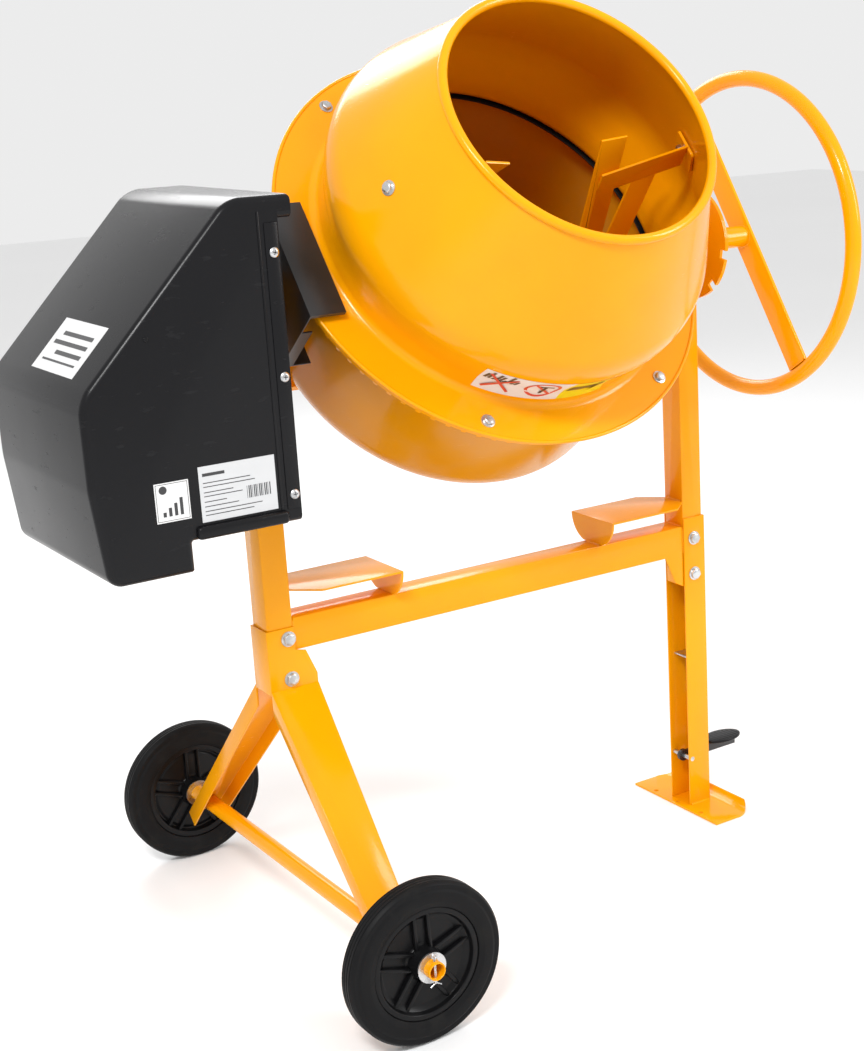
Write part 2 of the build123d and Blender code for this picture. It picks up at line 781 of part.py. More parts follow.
with BuildPart() as yoke:
    with BuildSketch(profile_plane.offset(-arm_width / 2)):
        with BuildLine():
            outer_bend = FilletPolyline(
                (-arm_outer, arm_width / 2), (-arm_outer, yoke_outer_floor),
                (arm_outer, yoke_outer_floor), (arm_outer, arm_width / 2),
                radius=yoke_corner + arm_thickness)
            inner_bend = FilletPolyline(
                (-arm_inner, arm_width / 2), (-arm_inner, yoke_inner_floor),
                (arm_inner, yoke_inner_floor), (arm_inner, arm_width / 2), radius=yoke_corner)
            Line(outer_bend @ 0, inner_bend @ 0)
            Line(outer_bend @ 1, inner_bend @ 1)
        make_face()
    extrude(amount=arm_width)
    arm_ends = yoke.edges().filter_by(Axis.X).filter_by(lambda edge: edge.length < 2 * arm_thickness)
    fillet(arm_ends, arm_width / 2 - 6)
    with BuildSketch(side_plane(drum_x - 2 * span)):
        with Locations((0, tilt_height)):
            Circle(trunnion_radius)
    extrude(amount=4 * span, mode=Mode.SUBTRACT)
    with BuildSketch(drum_plane(0)):
        Circle(axle_thread)
    extrude(amount=2 * yoke_outer_floor, mode=Mode.SUBTRACT)
yoke.part.label = "yoke"
export_step(yoke.part, "parts/yoke.step")

shaft_outer_end = pulley_left - 6
trunnion_left_end = left_x - half_tube - 9

with BuildPart() as left_trunnion:
    with BuildSketch(side_plane(trunnion_left_end)):
        with Locations((0, tilt_height)):
            Circle(trunnion_radius)
            Circle(trunnion_bore, mode=Mode.SUBTRACT)
    extrude(amount=drum_x - arm_inner - trunnion_left_end)
left_trunnion.part.label = "left_trunnion"
export_step(left_trunnion.part, "parts/left_trunnion.step")

with BuildPart() as pinion_bushes:
    for start in (trunnion_left_end, drum_x - arm_inner - 18):
        with BuildSketch(side_plane(start)):
            with Locations((0, tilt_height)):
                Circle(trunnion_bore)
                Circle(shaft_radius + running_gap, mode=Mode.SUBTRACT)
        extrude(amount=18)
pinion_bushes.part.label = "pinion_bushes"
export_step(pinion_bushes.part, "parts/pinion_bushes.step")

ring_x = right_x + handwheel_offset
spoke_left = ring_x - spoke_thickness

with BuildPart() as right_trunnion:
    with BuildSketch(side_plane(drum_x + arm_inner)):
        with Locations((0, tilt_height)):
            Circle(trunnion_radius)
    extrude(amount=spoke_left - drum_x - arm_inner)
right_trunnion.part.label = "right_trunnion"
export_step(right_trunnion.part, "parts/right_trunnion.step")

disc_left = right_x + disc_offset

with BuildPart() as lock_disc:
    with BuildSketch(side_plane(disc_left)):
        with Locations((0, tilt_height)):
            Circle(disc_radius)
            Circle(trunnion_radius, mode=Mode.SUBTRACT)
            for stop in lock_stops:
                with PolarLocations(disc_radius, 1, start_angle=270 - stop):
                    Rectangle(2 * notch_depth, notch_width, mode=Mode.SUBTRACT)
    extrude(amount=disc_thickness)
lock_disc.part.label = "lock_disc"
export_step(lock_disc.part, "parts/lock_disc.step")

with BuildPart() as handwheel:
    with BuildSketch(Plane((ring_x, handwheel_radius, tilt_height), x_dir=(1, 0, 0), z_dir=(0, 0, 1))):
        Circle(handwheel_tube)
    revolve(axis=Axis((ring_x, 0, tilt_height), (1, 0, 0)))
handwheel.part.label = "handwheel"
export_step(handwheel.part, "parts/handwheel.step")

spoke_half = math.sqrt((handwheel_radius - handwheel_tube) ** 2 - (spoke_width / 2) ** 2)

with BuildPart() as handwheel_spoke:
    with BuildSketch(side_plane(spoke_left)):
        with Locations(Location((0, tilt_height), 180 + spoke_angle)):
            Rectangle(2 * spoke_half, spoke_width)
    extrude(amount=spoke_thickness)
handwheel_spoke.part.label = "handwheel_spoke"
export_step(handwheel_spoke.part, "parts/handwheel_spoke.step")

# ---------------------------------------------------------------- gear pair
bolt_turn = 4.0             # first flange bolt, round from the handwheel side
crown_back = bowl_flange_bottom
crown_root = crown_back - crown_body
crown_tip = crown_root - tooth_height
crown_outer = crown_pitch_radius + gear_face / 2
crown_inner = crown_pitch_radius - gear_face / 2
tooth_taper = math.degrees(math.atan((tooth_root_width - tooth_tip_width) / 2 / tooth_height))
pinion_tip = crown_root - tooth_clearance
pinion_root = crown_tip - tooth_clearance
pinion_half = gear_face / 2 + 1

with BuildPart() as ring_gear:
    with BuildSketch(drum_plane(crown_root)):
        Circle(crown_outer + 4)
        Circle(crown_inner - 1, mode=Mode.SUBTRACT)
    extrude(amount=crown_body)
    with BuildSketch(drum_plane(crown_root)):
        half_step = 180 / crown_teeth
        with PolarLocations(crown_pitch_radius, crown_teeth, start_angle=half_step):
            Rectangle(gear_face, tooth_root_width)
    extrude(amount=-tooth_height, taper=tooth_taper)
    with BuildSketch(drum_plane(crown_root)):
        with PolarLocations(drum_bolt_circle, drum_bolt_count, start_angle=bolt_turn):
            Circle(drum_bolt_radius)
    extrude(amount=crown_body, mode=Mode.SUBTRACT)
ring_gear.part.label = "ring_gear"
export_step(ring_gear.part, "parts/ring_gear.step")

pinion_plane = Plane(
    tilt_centre - Vector(crown_pitch_radius + pinion_half, 0, 0),
    x_dir=drum_axis, z_dir=(1, 0, 0))

with BuildPart() as pinion:
    with BuildSketch(pinion_plane):
        Circle(pinion_root)
        with PolarLocations(0, pinion_teeth):
            with BuildLine():
                Polyline(
                    (pinion_root - 2, -tooth_root_width / 2), (pinion_tip, -tooth_tip_width / 2),
                    (pinion_tip, tooth_tip_width / 2), (pinion_root - 2, tooth_root_width / 2),
                    close=True)
            make_face()
        Circle(shaft_radius, mode=Mode.SUBTRACT)
    extrude(amount=2 * pinion_half)
pinion.part.label = "pinion"
export_step(pinion.part, "parts/pinion.step")

pinion_right = drum_x - crown_pitch_radius + pinion_half

with BuildPart() as pinion_shaft:
    with BuildSketch(side_plane(pulley_left - 4)):
        with Locations((0, tilt_height)):
            Circle(shaft_radius)
    extrude(amount=pinion_right + 2 - pulley_left + 4)
pinion_shaft.part.label = "pinion_shaft"
export_step(pinion_shaft.part, "parts/pinion_shaft.step")

# Guard round the gear mesh, bolted to the yoke arm; the drum flange runs through it.
guard_sheet = 2.5
guard_left = drum_x - arm_inner
guard_half = 88.0
guard_roof = flange_height + 15
guard_skirt = flange_height + 8    # clear of the bolt heads that pass under it
guard_floor = -52.5
guard_roof_reach = 53.0
guard_floor_reach = 45.0

with BuildPart() as pinion_guard:
    with BuildSketch(Plane(Vector(guard_left, 0, tilt_height), x_dir=drum_back, z_dir=(1, 0, 0))):
        with Locations((0, (guard_roof + guard_floor) / 2)):
            Rectangle(2 * guard_half, guard_roof - guard_floor)
        Circle(trunnion_radius + 1, mode=Mode.SUBTRACT)
    extrude(amount=guard_sheet)
    with BuildSketch(drum_plane(guard_roof - guard_sheet)):
        with Locations((-arm_inner + guard_roof_reach / 2, 0)):
            Rectangle(guard_roof_reach, 2 * guard_half)
    extrude(amount=guard_sheet)
    with BuildSketch(drum_plane(guard_floor)):
        with Locations((-arm_inner + guard_floor_reach / 2, 0)):
            Rectangle(guard_floor_reach, 2 * guard_half)
    extrude(amount=guard_sheet)
    for side in (-1, 1):
        end_middle = side * (guard_half - guard_sheet / 2)
        with BuildSketch(drum_plane(guard_skirt)):
            with Locations((-arm_inner + guard_roof_reach / 2, end_middle)):
                Rectangle(guard_roof_reach, guard_sheet)
        extrude(amount=guard_roof - guard_skirt)
        with BuildSketch(drum_plane(guard_floor)):
            with Locations((-arm_inner + 9, end_middle)):
                Rectangle(18, guard_sheet)
        extrude(amount=crown_tip - 2 - guard_floor)
pinion_guard.part.label = "pinion_guard"
export_step(pinion_guard.part, "parts/pinion_guard.step")

# ---------------------------------------------------------------- drum
blade_thickness = 4.0
blade_width = 40.0
blade_foot = (178, -98, -172)
blade_bars = (
    (blade_foot, (100, 12, 275), blade_width),
    (blade_foot, (205, 17, 205), blade_width),
    ((232, 0, 237), (104, -10, 200), blade_width + 5),
)
wall_bolt_height = 240.0
wall_bolt_turn = 3.0
wall_tab_gap = 2.0
foot_tab_gap = 2.5
foot_bolt_radius = 177.0
cone_rise = mouth_height - 2 - belly_height
cone_drop = belly_radius - mouth_radius - 1.4
cone_lean = math.atan2(cone_drop, cone_rise)
wall_bolt_reach = belly_radius - (wall_bolt_height - belly_height) * cone_drop / cone_rise
foot_turn = math.degrees(math.atan2(blade_foot[1], blade_foot[0]))


def drum_point(place, turn):
    """Point given across, back and along the drum axis, for the paddle on side turn."""
    across = Vector(1, 0, 0) * place[0] + drum_back * place[1]
    return tilt_centre + across * turn + drum_axis * place[2]


def wall_plane(turn):
    """Plane that touches the cone outside at the wall bolt of the paddle on side turn."""
    angle = math.radians(wall_bolt_turn)
    outward = (Vector(1, 0, 0) * math.cos(angle) + drum_back * math.sin(angle)) * turn
    normal = outward * math.cos(cone_lean) + drum_axis * math.sin(cone_lean)
    touch = tilt_centre + outward * wall_bolt_reach + drum_axis * wall_bolt_height
    return Plane(touch, x_dir=drum_axis.cross(outward), z_dir=normal)


mouth_sheet = mouth_radius - 1.1
upper_outer = (
    (flange_radius, flange_height), (neck_radius, flange_height), (neck_radius, flange_height + 34),
    (belly_radius, belly_height), (mouth_radius + 1.4, mouth_height - 2))
upper_inner = (
    (flange_radius, flange_sheet), (neck_radius - sheet, flange_sheet),
    (neck_radius - sheet, flange_height + 34), (belly_radius - sheet, belly_height),
    (mouth_sheet, mouth_height - 2))

with BuildPart() as upper_drum:
    with BuildSketch(profile_plane):
        with BuildLine():
            outer_side = FilletPolyline(*upper_outer, radius=(12, 60, 70))
            inner_side = FilletPolyline(*upper_inner, radius=(12 + sheet, 60, 70 - sheet))
            Line(outer_side @ 0, inner_side @ 0)
            Line(outer_side @ 1, inner_side @ 1)
        make_face()
    revolve(axis=revolve_axis)
    with BuildSketch(profile_plane):
        with Locations((mouth_radius, mouth_height)):
            Circle(bead_radius)
    revolve(axis=revolve_axis)
    with BuildSketch(drum_plane(flange_sheet - 1)):
        with PolarLocations(drum_bolt_circle, drum_bolt_count, start_angle=bolt_turn):
            Circle(drum_bolt_radius)
    extrude(amount=sheet + 2, mode=Mode.SUBTRACT)
    for side in (1, -1):
        with BuildSketch(wall_plane(side)):
            Circle(drum_bolt_radius)
        extrude(amount=10, both=True, mode=Mode.SUBTRACT)
upper_drum.part.label = "upper_drum"
export_step(upper_drum.part, "parts/upper_drum.step")

bowl_flange = flange_radius - 5
lower_radius = bowl_radius - bowl_taper
lower_outer = (
    (bowl_flange, bowl_flange_bottom), (bowl_radius, bowl_flange_bottom),
    (lower_radius, -bowl_bottom), (0, -bowl_bottom))
lower_inner = (
    (bowl_flange, bowl_flange_top), (bowl_radius - sheet, bowl_flange_top),
    (lower_radius - sheet, sheet - bowl_bottom), (0, sheet - bowl_bottom))

with BuildPart() as lower_drum:
    with BuildSketch(profile_plane):
        with BuildLine():
            outer_side = FilletPolyline(*lower_outer, radius=(5, bowl_corner))
            inner_side = FilletPolyline(*lower_inner, radius=(5 + sheet, bowl_corner - sheet))
            Line(outer_side @ 0, inner_side @ 0)
            Line(outer_side @ 1, inner_side @ 1)
        make_face()
    revolve(axis=revolve_axis)
    with BuildSketch(drum_plane(bowl_flange_bottom - 1)):
        with PolarLocations(drum_bolt_circle, drum_bolt_count, start_angle=bolt_turn):
            Circle(drum_bolt_radius)
    extrude(amount=sheet + 2, mode=Mode.SUBTRACT)
    with BuildSketch(drum_plane(-bowl_bottom - 1)):
        with PolarLocations(foot_bolt_radius, 2, start_angle=foot_turn):
            Circle(drum_bolt_radius)
    extrude(amount=sheet + 2, mode=Mode.SUBTRACT)
lower_drum.part.label = "lower_drum"
export_step(lower_drum.part, "parts/lower_drum.step")

with BuildPart() as drum_seal:
    with BuildSketch(drum_plane(bowl_flange_top)):
        Circle(bowl_flange - 2)
        Circle(neck_radius + 2, mode=Mode.SUBTRACT)
        with PolarLocations(drum_bolt_circle, drum_bolt_count, start_angle=bolt_turn):
            Circle(drum_bolt_radius, mode=Mode.SUBTRACT)
    extrude(amount=seal_thickness)
drum_seal.part.label = "drum_seal"
export_step(drum_seal.part, "parts/drum_seal.step")

with BuildPart() as drum_bolts:
    with BuildSketch(drum_plane(crown_root)):
        with PolarLocations(drum_bolt_circle, drum_bolt_count, start_angle=bolt_turn):
            Circle(drum_bolt_radius)
    extrude(amount=flange_height - crown_root)
    with BuildSketch(drum_plane(flange_height)):
        with PolarLocations(drum_bolt_circle, drum_bolt_count, start_angle=bolt_turn):
            RegularPolygon(7.5, 6)
    extrude(amount=5.5)
drum_bolts.part.label = "drum_bolts"
export_step(drum_bolts.part, "parts/drum_bolts.step")

# Two paddles, each three flat bars welded together with a foot tab and a wall tab.
foot_tab_low = sheet + foot_tab_gap - bowl_bottom
wall_tab_depth = sheet + wall_tab_gap

with BuildPart() as mixing_blades:
    for side in (1, -1):
        for start, end, width in blade_bars:
            low = drum_point(start, side)
            along = drum_point(end, side) - low
            with Locations(Plane(low - along.normalized() * 6, x_dir=along.cross(drum_back), z_dir=along)):
                Box(width, blade_thickness, along.length + 6, align=(Align.CENTER, Align.CENTER, Align.MIN))
    with Locations(drum_plane(foot_tab_low)):
        Box(600, 600, 30, align=(Align.CENTER, Align.CENTER, Align.MAX), mode=Mode.SUBTRACT)
    with BuildSketch(drum_plane(foot_tab_low)):
        with PolarLocations(foot_bolt_radius + 13, 2, start_angle=foot_turn):
            RectangleRounded(64, 40, 6)
        with PolarLocations(foot_bolt_radius, 2, start_angle=foot_turn):
            Circle(drum_bolt_radius, mode=Mode.SUBTRACT)
    extrude(amount=blade_thickness)
    for side in (1, -1):
        with BuildSketch(wall_plane(side).offset(-wall_tab_depth)):
            with Locations((-5, 0)):
                RectangleRounded(46, 48, 6)
            Circle(drum_bolt_radius, mode=Mode.SUBTRACT)
        extrude(amount=-blade_thickness)
mixing_blades.part.label = "mixing_blades"
export_step(mixing_blades.part, "parts/mixing_blades.step")

with BuildPart() as blade_bolts:
    for side in (1, -1):
        with BuildSketch(wall_plane(side)):
            RegularPolygon(7.5, 6)
        extrude(amount=5.5)
        with BuildSketch(wall_plane(side)):
            Circle(drum_bolt_radius)
        extrude(amount=-wall_tab_depth - blade_thickness)
        with BuildSketch(wall_plane(side).offset(-wall_tab_depth - blade_thickness)):
            RegularPolygon(7.5, 6)
        extrude(amount=-6.5)
    with BuildSketch(drum_plane(-bowl_bottom)):
        with PolarLocations(foot_bolt_radius, 2, start_angle=foot_turn):
            RegularPolygon(7.5, 6)
    extrude(amount=-5.5)
    with BuildSketch(drum_plane(-bowl_bottom)):
        with PolarLocations(foot_bolt_radius, 2, start_angle=foot_turn):
            Circle(drum_bolt_radius)
    extrude(amount=sheet + foot_tab_gap + blade_thickness)
    with BuildSketch(drum_plane(foot_tab_low + blade_thickness)):
        with PolarLocations(foot_bolt_radius, 2, start_angle=foot_turn):
            RegularPolygon(7.5, 6)
    extrude(amount=6.5)
blade_bolts.part.label = "blade_bolts"
export_step(blade_bolts.part, "parts/blade_bolts.step")

# Drum bearing: the hub turns on an axle that is bolted to the yoke's crossbar.
hub_plate = 6.0
boss_radius = 39.0
boss_floor = -bowl_bottom - 35
bearing_radius = 31.0
bearing_width = 15.8

with BuildPart() as drum_hub:
    with BuildSketch(drum_plane(-bowl_bottom)):
        Circle(75)
    extrude(amount=-hub_plate)
    with BuildSketch(drum_plane(boss_floor)):
        Circle(boss_radius)
    extrude(amount=-boss_floor - bowl_bottom - hub_plate)
    with BuildSketch(drum_plane(boss_floor)):
        Circle(bearing_radius)
    extrude(amount=-boss_floor - bowl_bottom - 2, mode=Mode.SUBTRACT)
drum_hub.part.label = "drum_hub"
export_step(drum_hub.part, "parts/drum_hub.step")

with BuildPart() as drum_bearings:
    for start in (boss_floor + 0.4, boss_floor + 0.8 + bearing_width):
        with BuildSketch(drum_plane(start)):
            Circle(bearing_radius)
            Circle(axle_core + running_gap, mode=Mode.SUBTRACT)
        extrude(amount=bearing_width)
drum_bearings.part.label = "drum_bearings"
export_step(drum_bearings.part, "parts/drum_bearings.step")

axle_shoulder = 4.0

with BuildPart() as drum_axle:
    with BuildSketch(drum_plane(yoke_inner_floor)):
        Circle(22)
    extrude(amount=axle_shoulder)
    with BuildSketch(drum_plane(yoke_inner_floor)):
        Circle(axle_core)
    extrude(amount=yoke_floor_gap - 3)
    with BuildSketch(drum_plane(yoke_inner_floor)):
        Circle(axle_thread)
    extrude(amount=-arm_thickness - 20)
drum_axle.part.label = "drum_axle"
export_step(drum_axle.part, "parts/drum_axle.step")

with BuildPart() as drum_axle_nut:
    with BuildSketch(drum_plane(yoke_outer_floor)):
        RegularPolygon(17, 6)
        Circle(axle_thread, mode=Mode.SUBTRACT)
    extrude(amount=-13)
drum_axle_nut.part.label = "drum_axle_nut"
export_step(drum_axle_nut.part, "parts/drum_axle_nut.step")

# ---------------------------------------------------------------- tilt lock
pivot_x = right_x + pedal_pivot_offset
pivot_radius = 4.0
lever_top = pedal_height + lever_depth / 2
rod_pin_radius = 3.0
fork_gap = 0.6
fork_thickness = 2.5
lever_slot_length = 12.0
lever_slot_height = 9.0

with BuildPart() as pedal_lever:
    with BuildSketch(front_plane(-lever_thickness / 2)):
        with Locations((pedal_height, pivot_x)):
            Circle(10)
        with Locations((pedal_height, (pivot_x + right_x + 100) / 2)):
            Rectangle(lever_depth, right_x + 100 - pivot_x)
        with Locations((pedal_height, pivot_x)):
            Circle(pivot_radius + running_gap, mode=Mode.SUBTRACT)
        with Locations((pedal_height, rod_x + 1.3)):
            Rectangle(lever_slot_height, lever_slot_length, mode=Mode.SUBTRACT)
    extrude(amount=lever_thickness)
pedal_lever.part.label = "pedal_lever"
export_step(pedal_lever.part, "parts/pedal_lever.step")

with BuildPart() as pedal_pivot_pin:
    with BuildSketch(front_plane(-half_depth - plate)):
        with Locations((pedal_height, pivot_x)):
            Circle(pivot_radius)
    extrude(amount=2 * (half_depth + plate))
pedal_pivot_pin.part.label = "pedal_pivot_pin"
export_step(pedal_pivot_pin.part, "parts/pedal_pivot_pin.step")

with BuildPart() as pedal_pad:
    with BuildSketch(Plane.XY.offset(lever_top)):
        with Locations((right_x + 72, 0)):
            Ellipse(37, 23)
    extrude(amount=6)
    fillet(pedal_pad.edges().group_by(Axis.Z)[-1], 2)
pedal_pad.part.label = "pedal_pad"
export_step(pedal_pad.part, "parts/pedal_pad.step")

fork_top = lever_top + 10
fork_inner = lever_thickness / 2 + fork_gap
guide_top = guide_plate_height + plate
collar_height = 330.0
collar_thickness = 6.0

with BuildPart() as lock_rod:
    with BuildSketch(Plane.XY.offset(fork_top - 3)):
        with Locations((rod_x, 0)):
            Circle(rod_radius)
    extrude(amount=tongue_top - fork_top)
    with BuildSketch(Plane.XY.offset(collar_height)):
        with Locations((rod_x, 0)):
            Circle(9)
    extrude(amount=collar_thickness)
    with Locations((rod_x, 0, fork_top)):
        Box(12, 2 * (fork_inner + fork_thickness), 6, align=(Align.CENTER, Align.CENTER, Align.MAX))
    for side in (-1, 1):
        with Locations((rod_x, side * (fork_inner + fork_thickness / 2), fork_top)):
            Box(12, fork_thickness, fork_top - pedal_height + 7, align=(Align.CENTER, Align.CENTER, Align.MAX))
    with BuildSketch(front_plane(-fork_inner)):
        with Locations((pedal_height, rod_x)):
            Circle(rod_pin_radius)
    extrude(amount=2 * fork_inner)
    with Locations((rod_x - 5, 0, tongue_top)):
        Box(
            right_x + disc_offset + disc_thickness + 2 - rod_x + 5, tongue_width, tongue_height,
            align=(Align.MIN, Align.CENTER, Align.MAX))
lock_rod.part.label = "lock_rod"
export_step(lock_rod.part, "parts/lock_rod.step")

with BuildPart() as rod_guide:
    with Locations((right_x + half_tube, 0, guide_top)):
        Box(32, 36, plate, align=(Align.MAX, Align.CENTER, Align.MAX))
    with Locations((right_x + half_tube, 0, guide_top)):
        Box(plate, 36, guide_top - 180, align=(Align.MAX, Align.CENTER, Align.MAX))
    with BuildSketch(Plane.XY.offset(guide_plate_height)):
        with Locations((rod_x, 0)):
            Circle(rod_radius + running_gap)
    extrude(amount=plate, mode=Mode.SUBTRACT)
    with BuildSketch(side_plane(right_x)):
        for height in guide_screw_heights:
            with Locations((0, height)):
                Circle(guide_screw_radius)
    extrude(amount=half_tube, mode=Mode.SUBTRACT)
rod_guide.part.label = "rod_guide"
export_step(rod_guide.part, "parts/rod_guide.step")

with BuildPart() as guide_screws:
    for height in guide_screw_heights:
        with BuildSketch(side_plane(web_x + plate)):
            with Locations((0, height)):
                Circle(6)
        extrude(amount=3.5, taper=15)
        with BuildSketch(side_plane(web_x + plate)):
            with Locations((0, height)):
                Circle(guide_screw_radius)
        extrude(amount=-plate - 3)
guide_screws.part.label = "guide_screws"
export_step(guide_screws.part, "parts/guide_screws.step")

spring_radius = 7.0
spring_wire = 0.75
spring_length = collar_height - guide_top - 2 * spring_wire - 0.4

with BuildPart() as return_spring:
    with BuildLine(Plane((rod_x, 0, guide_top + spring_wire + 0.2))) as coil:
        Helix(spring_length / 8, spring_length, spring_radius)
    with BuildSketch(Plane(coil.line @ 0, z_dir=coil.line % 0)):
        Circle(spring_wire)
    sweep(path=coil.line)
return_spring.part.label = "return_spring"
export_step(return_spring.part, "parts/return_spring.step")
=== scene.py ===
"""Looks of a portable electric concrete mixer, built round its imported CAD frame.

Each piece or group of like pieces has an operator. Sizes are in metres, in the frame's
own place: X across the machine, Y to the back, Z up.
"""
import json
import math

import bmesh
import bpy
from bpy.props import FloatProperty, FloatVectorProperty, IntProperty, PointerProperty
from mathutils import Matrix, Vector


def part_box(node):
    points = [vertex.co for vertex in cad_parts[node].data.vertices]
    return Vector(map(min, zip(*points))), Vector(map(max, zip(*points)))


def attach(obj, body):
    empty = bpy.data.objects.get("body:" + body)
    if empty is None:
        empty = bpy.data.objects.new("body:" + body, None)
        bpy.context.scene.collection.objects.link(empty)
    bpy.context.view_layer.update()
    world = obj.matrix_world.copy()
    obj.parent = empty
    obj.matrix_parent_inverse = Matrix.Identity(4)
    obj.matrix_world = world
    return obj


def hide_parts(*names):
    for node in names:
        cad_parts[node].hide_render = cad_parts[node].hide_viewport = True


bl_info = {
    "name": "Concrete Mixer",
    "version": (1, 0, 0),
    "blender": (4, 5, 0),
    "location": "View3D > Sidebar > Mixer",
    "description": "Finishes the pieces of a tilting-drum concrete mixer",
    "category": "Object",
}

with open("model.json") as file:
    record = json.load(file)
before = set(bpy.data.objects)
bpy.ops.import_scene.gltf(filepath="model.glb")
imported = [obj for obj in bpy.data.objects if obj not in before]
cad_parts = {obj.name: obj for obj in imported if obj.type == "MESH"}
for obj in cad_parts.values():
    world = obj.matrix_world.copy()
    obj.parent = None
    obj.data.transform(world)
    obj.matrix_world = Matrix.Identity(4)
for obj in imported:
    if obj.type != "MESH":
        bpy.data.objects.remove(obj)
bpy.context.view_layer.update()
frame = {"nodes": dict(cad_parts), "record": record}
JOINTS = {joint["name"]: joint for joint in frame["record"]["behaviour"]["joints"]}


def place_of(name):
    """Middle of a CAD node's box."""
    low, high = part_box(name)
    return (Vector(low) + Vector(high)) / 2


# Drum frame: X across, Y to the back of the drum, Z along its axis towards the mouth.
TILT = Vector(JOINTS["drum_spin"]["pos_m"])
DRUM_AXIS = Vector(JOINTS["drum_spin"]["axis"]).normalized()
DRUM_BACK = DRUM_AXIS.cross(Vector((1, 0, 0)))
DRUM = Matrix((Vector((1, 0, 0)), DRUM_BACK, DRUM_AXIS)).transposed().to_4x4()
DRUM = Matrix.Translation(TILT) @ DRUM
LEFT = place_of("left_upright").x
RIGHT = place_of("right_upright").x
RING = place_of("handwheel")
AXLE = place_of("axle_tube")
# Turns a shape made round Z so that it stands round X or round Y.
ROUND_X = Matrix(((0, 0, 1), (1, 0, 0), (0, 1, 0))).to_4x4()
ROUND_Y = Matrix(((1, 0, 0), (0, 0, 1), (0, -1, 0))).to_4x4()
UPRIGHT = Matrix.Rotation(math.pi / 2, 4, "X")

# Edges longer than this and sharper than the angle are rounded on the CAD plates and tubes.
SHORTEST_EDGE = 0.007
SHARP_EDGE = math.radians(50)
# Across the flats, height and washer radius of the bolts on the drum, and the nuts behind them.
DRUM_BOLT = (0.0130, 0.0040, 0.0100)
DRUM_NUT = (0.0130, 0.0060)


# ---------------------------------------------------------------- sizes and colours
class MixerSettings(bpy.types.PropertyGroup):
    """Sizes and colours of the finish."""

    yellow: FloatVectorProperty(
        name="Enamel", description="Colour of the drum and the frame",
        subtype="COLOR", size=3, min=0, max=1, default=(0.88, 0.355, 0.001))
    orange: FloatVectorProperty(
        name="Enamel shade", description="Colour of thin or uneven enamel",
        subtype="COLOR", size=3, min=0, max=1, default=(0.80, 0.275, 0.001))
    black: FloatVectorProperty(
        name="Black", description="Colour of the housing and the guard",
        subtype="COLOR", size=3, min=0, max=1, default=(0.007, 0.007, 0.008))
    edge: FloatProperty(
        name="Plate edge", description="Rounding of plate and tube edges",
        subtype="DISTANCE", unit="LENGTH", min=0.0002, max=0.003, default=0.0011)
    housing_edge: FloatProperty(
        name="Housing edge", description="Rounding of the drive housing's edges",
        subtype="DISTANCE", unit="LENGTH", min=0.002, max=0.015, default=0.009)
    drum_steps: IntProperty(
        name="Drum steps", description="Flats round the drum", min=48, max=256, default=160)
    rib_depth: FloatProperty(
        name="Tread groove", description="Depth of the grooves round a tyre",
        subtype="DISTANCE", unit="LENGTH", min=0.0005, max=0.004, default=0.0016)
    weld_radius: FloatProperty(
        name="Weld bead", description="Radius of the weld beads",
        subtype="DISTANCE", unit="LENGTH", min=0.001, max=0.004, default=0.0024)


def settings():
    return bpy.context.scene.mixer


# ---------------------------------------------------------------- materials
class Amount:
    """A number on a shader socket. Arithmetic on it adds Math nodes."""

    def __init__(self, finish, socket):
        self.finish = finish
        self.socket = socket

    def sum_of(self, operation, first, second):
        node = self.finish.node("ShaderNodeMath", {"operation": operation}, {0: first, 1: second})
        return Amount(self.finish, node.outputs[0])

    def __add__(self, other):
        return self.sum_of("ADD", self, other)

    def __sub__(self, other):
        return self.sum_of("SUBTRACT", self, other)

    def __mul__(self, other):
        return self.sum_of("MULTIPLY", self, other)

    def __rsub__(self, other):
        return self.sum_of("SUBTRACT", other, self)

    __radd__ = __add__
    __rmul__ = __mul__


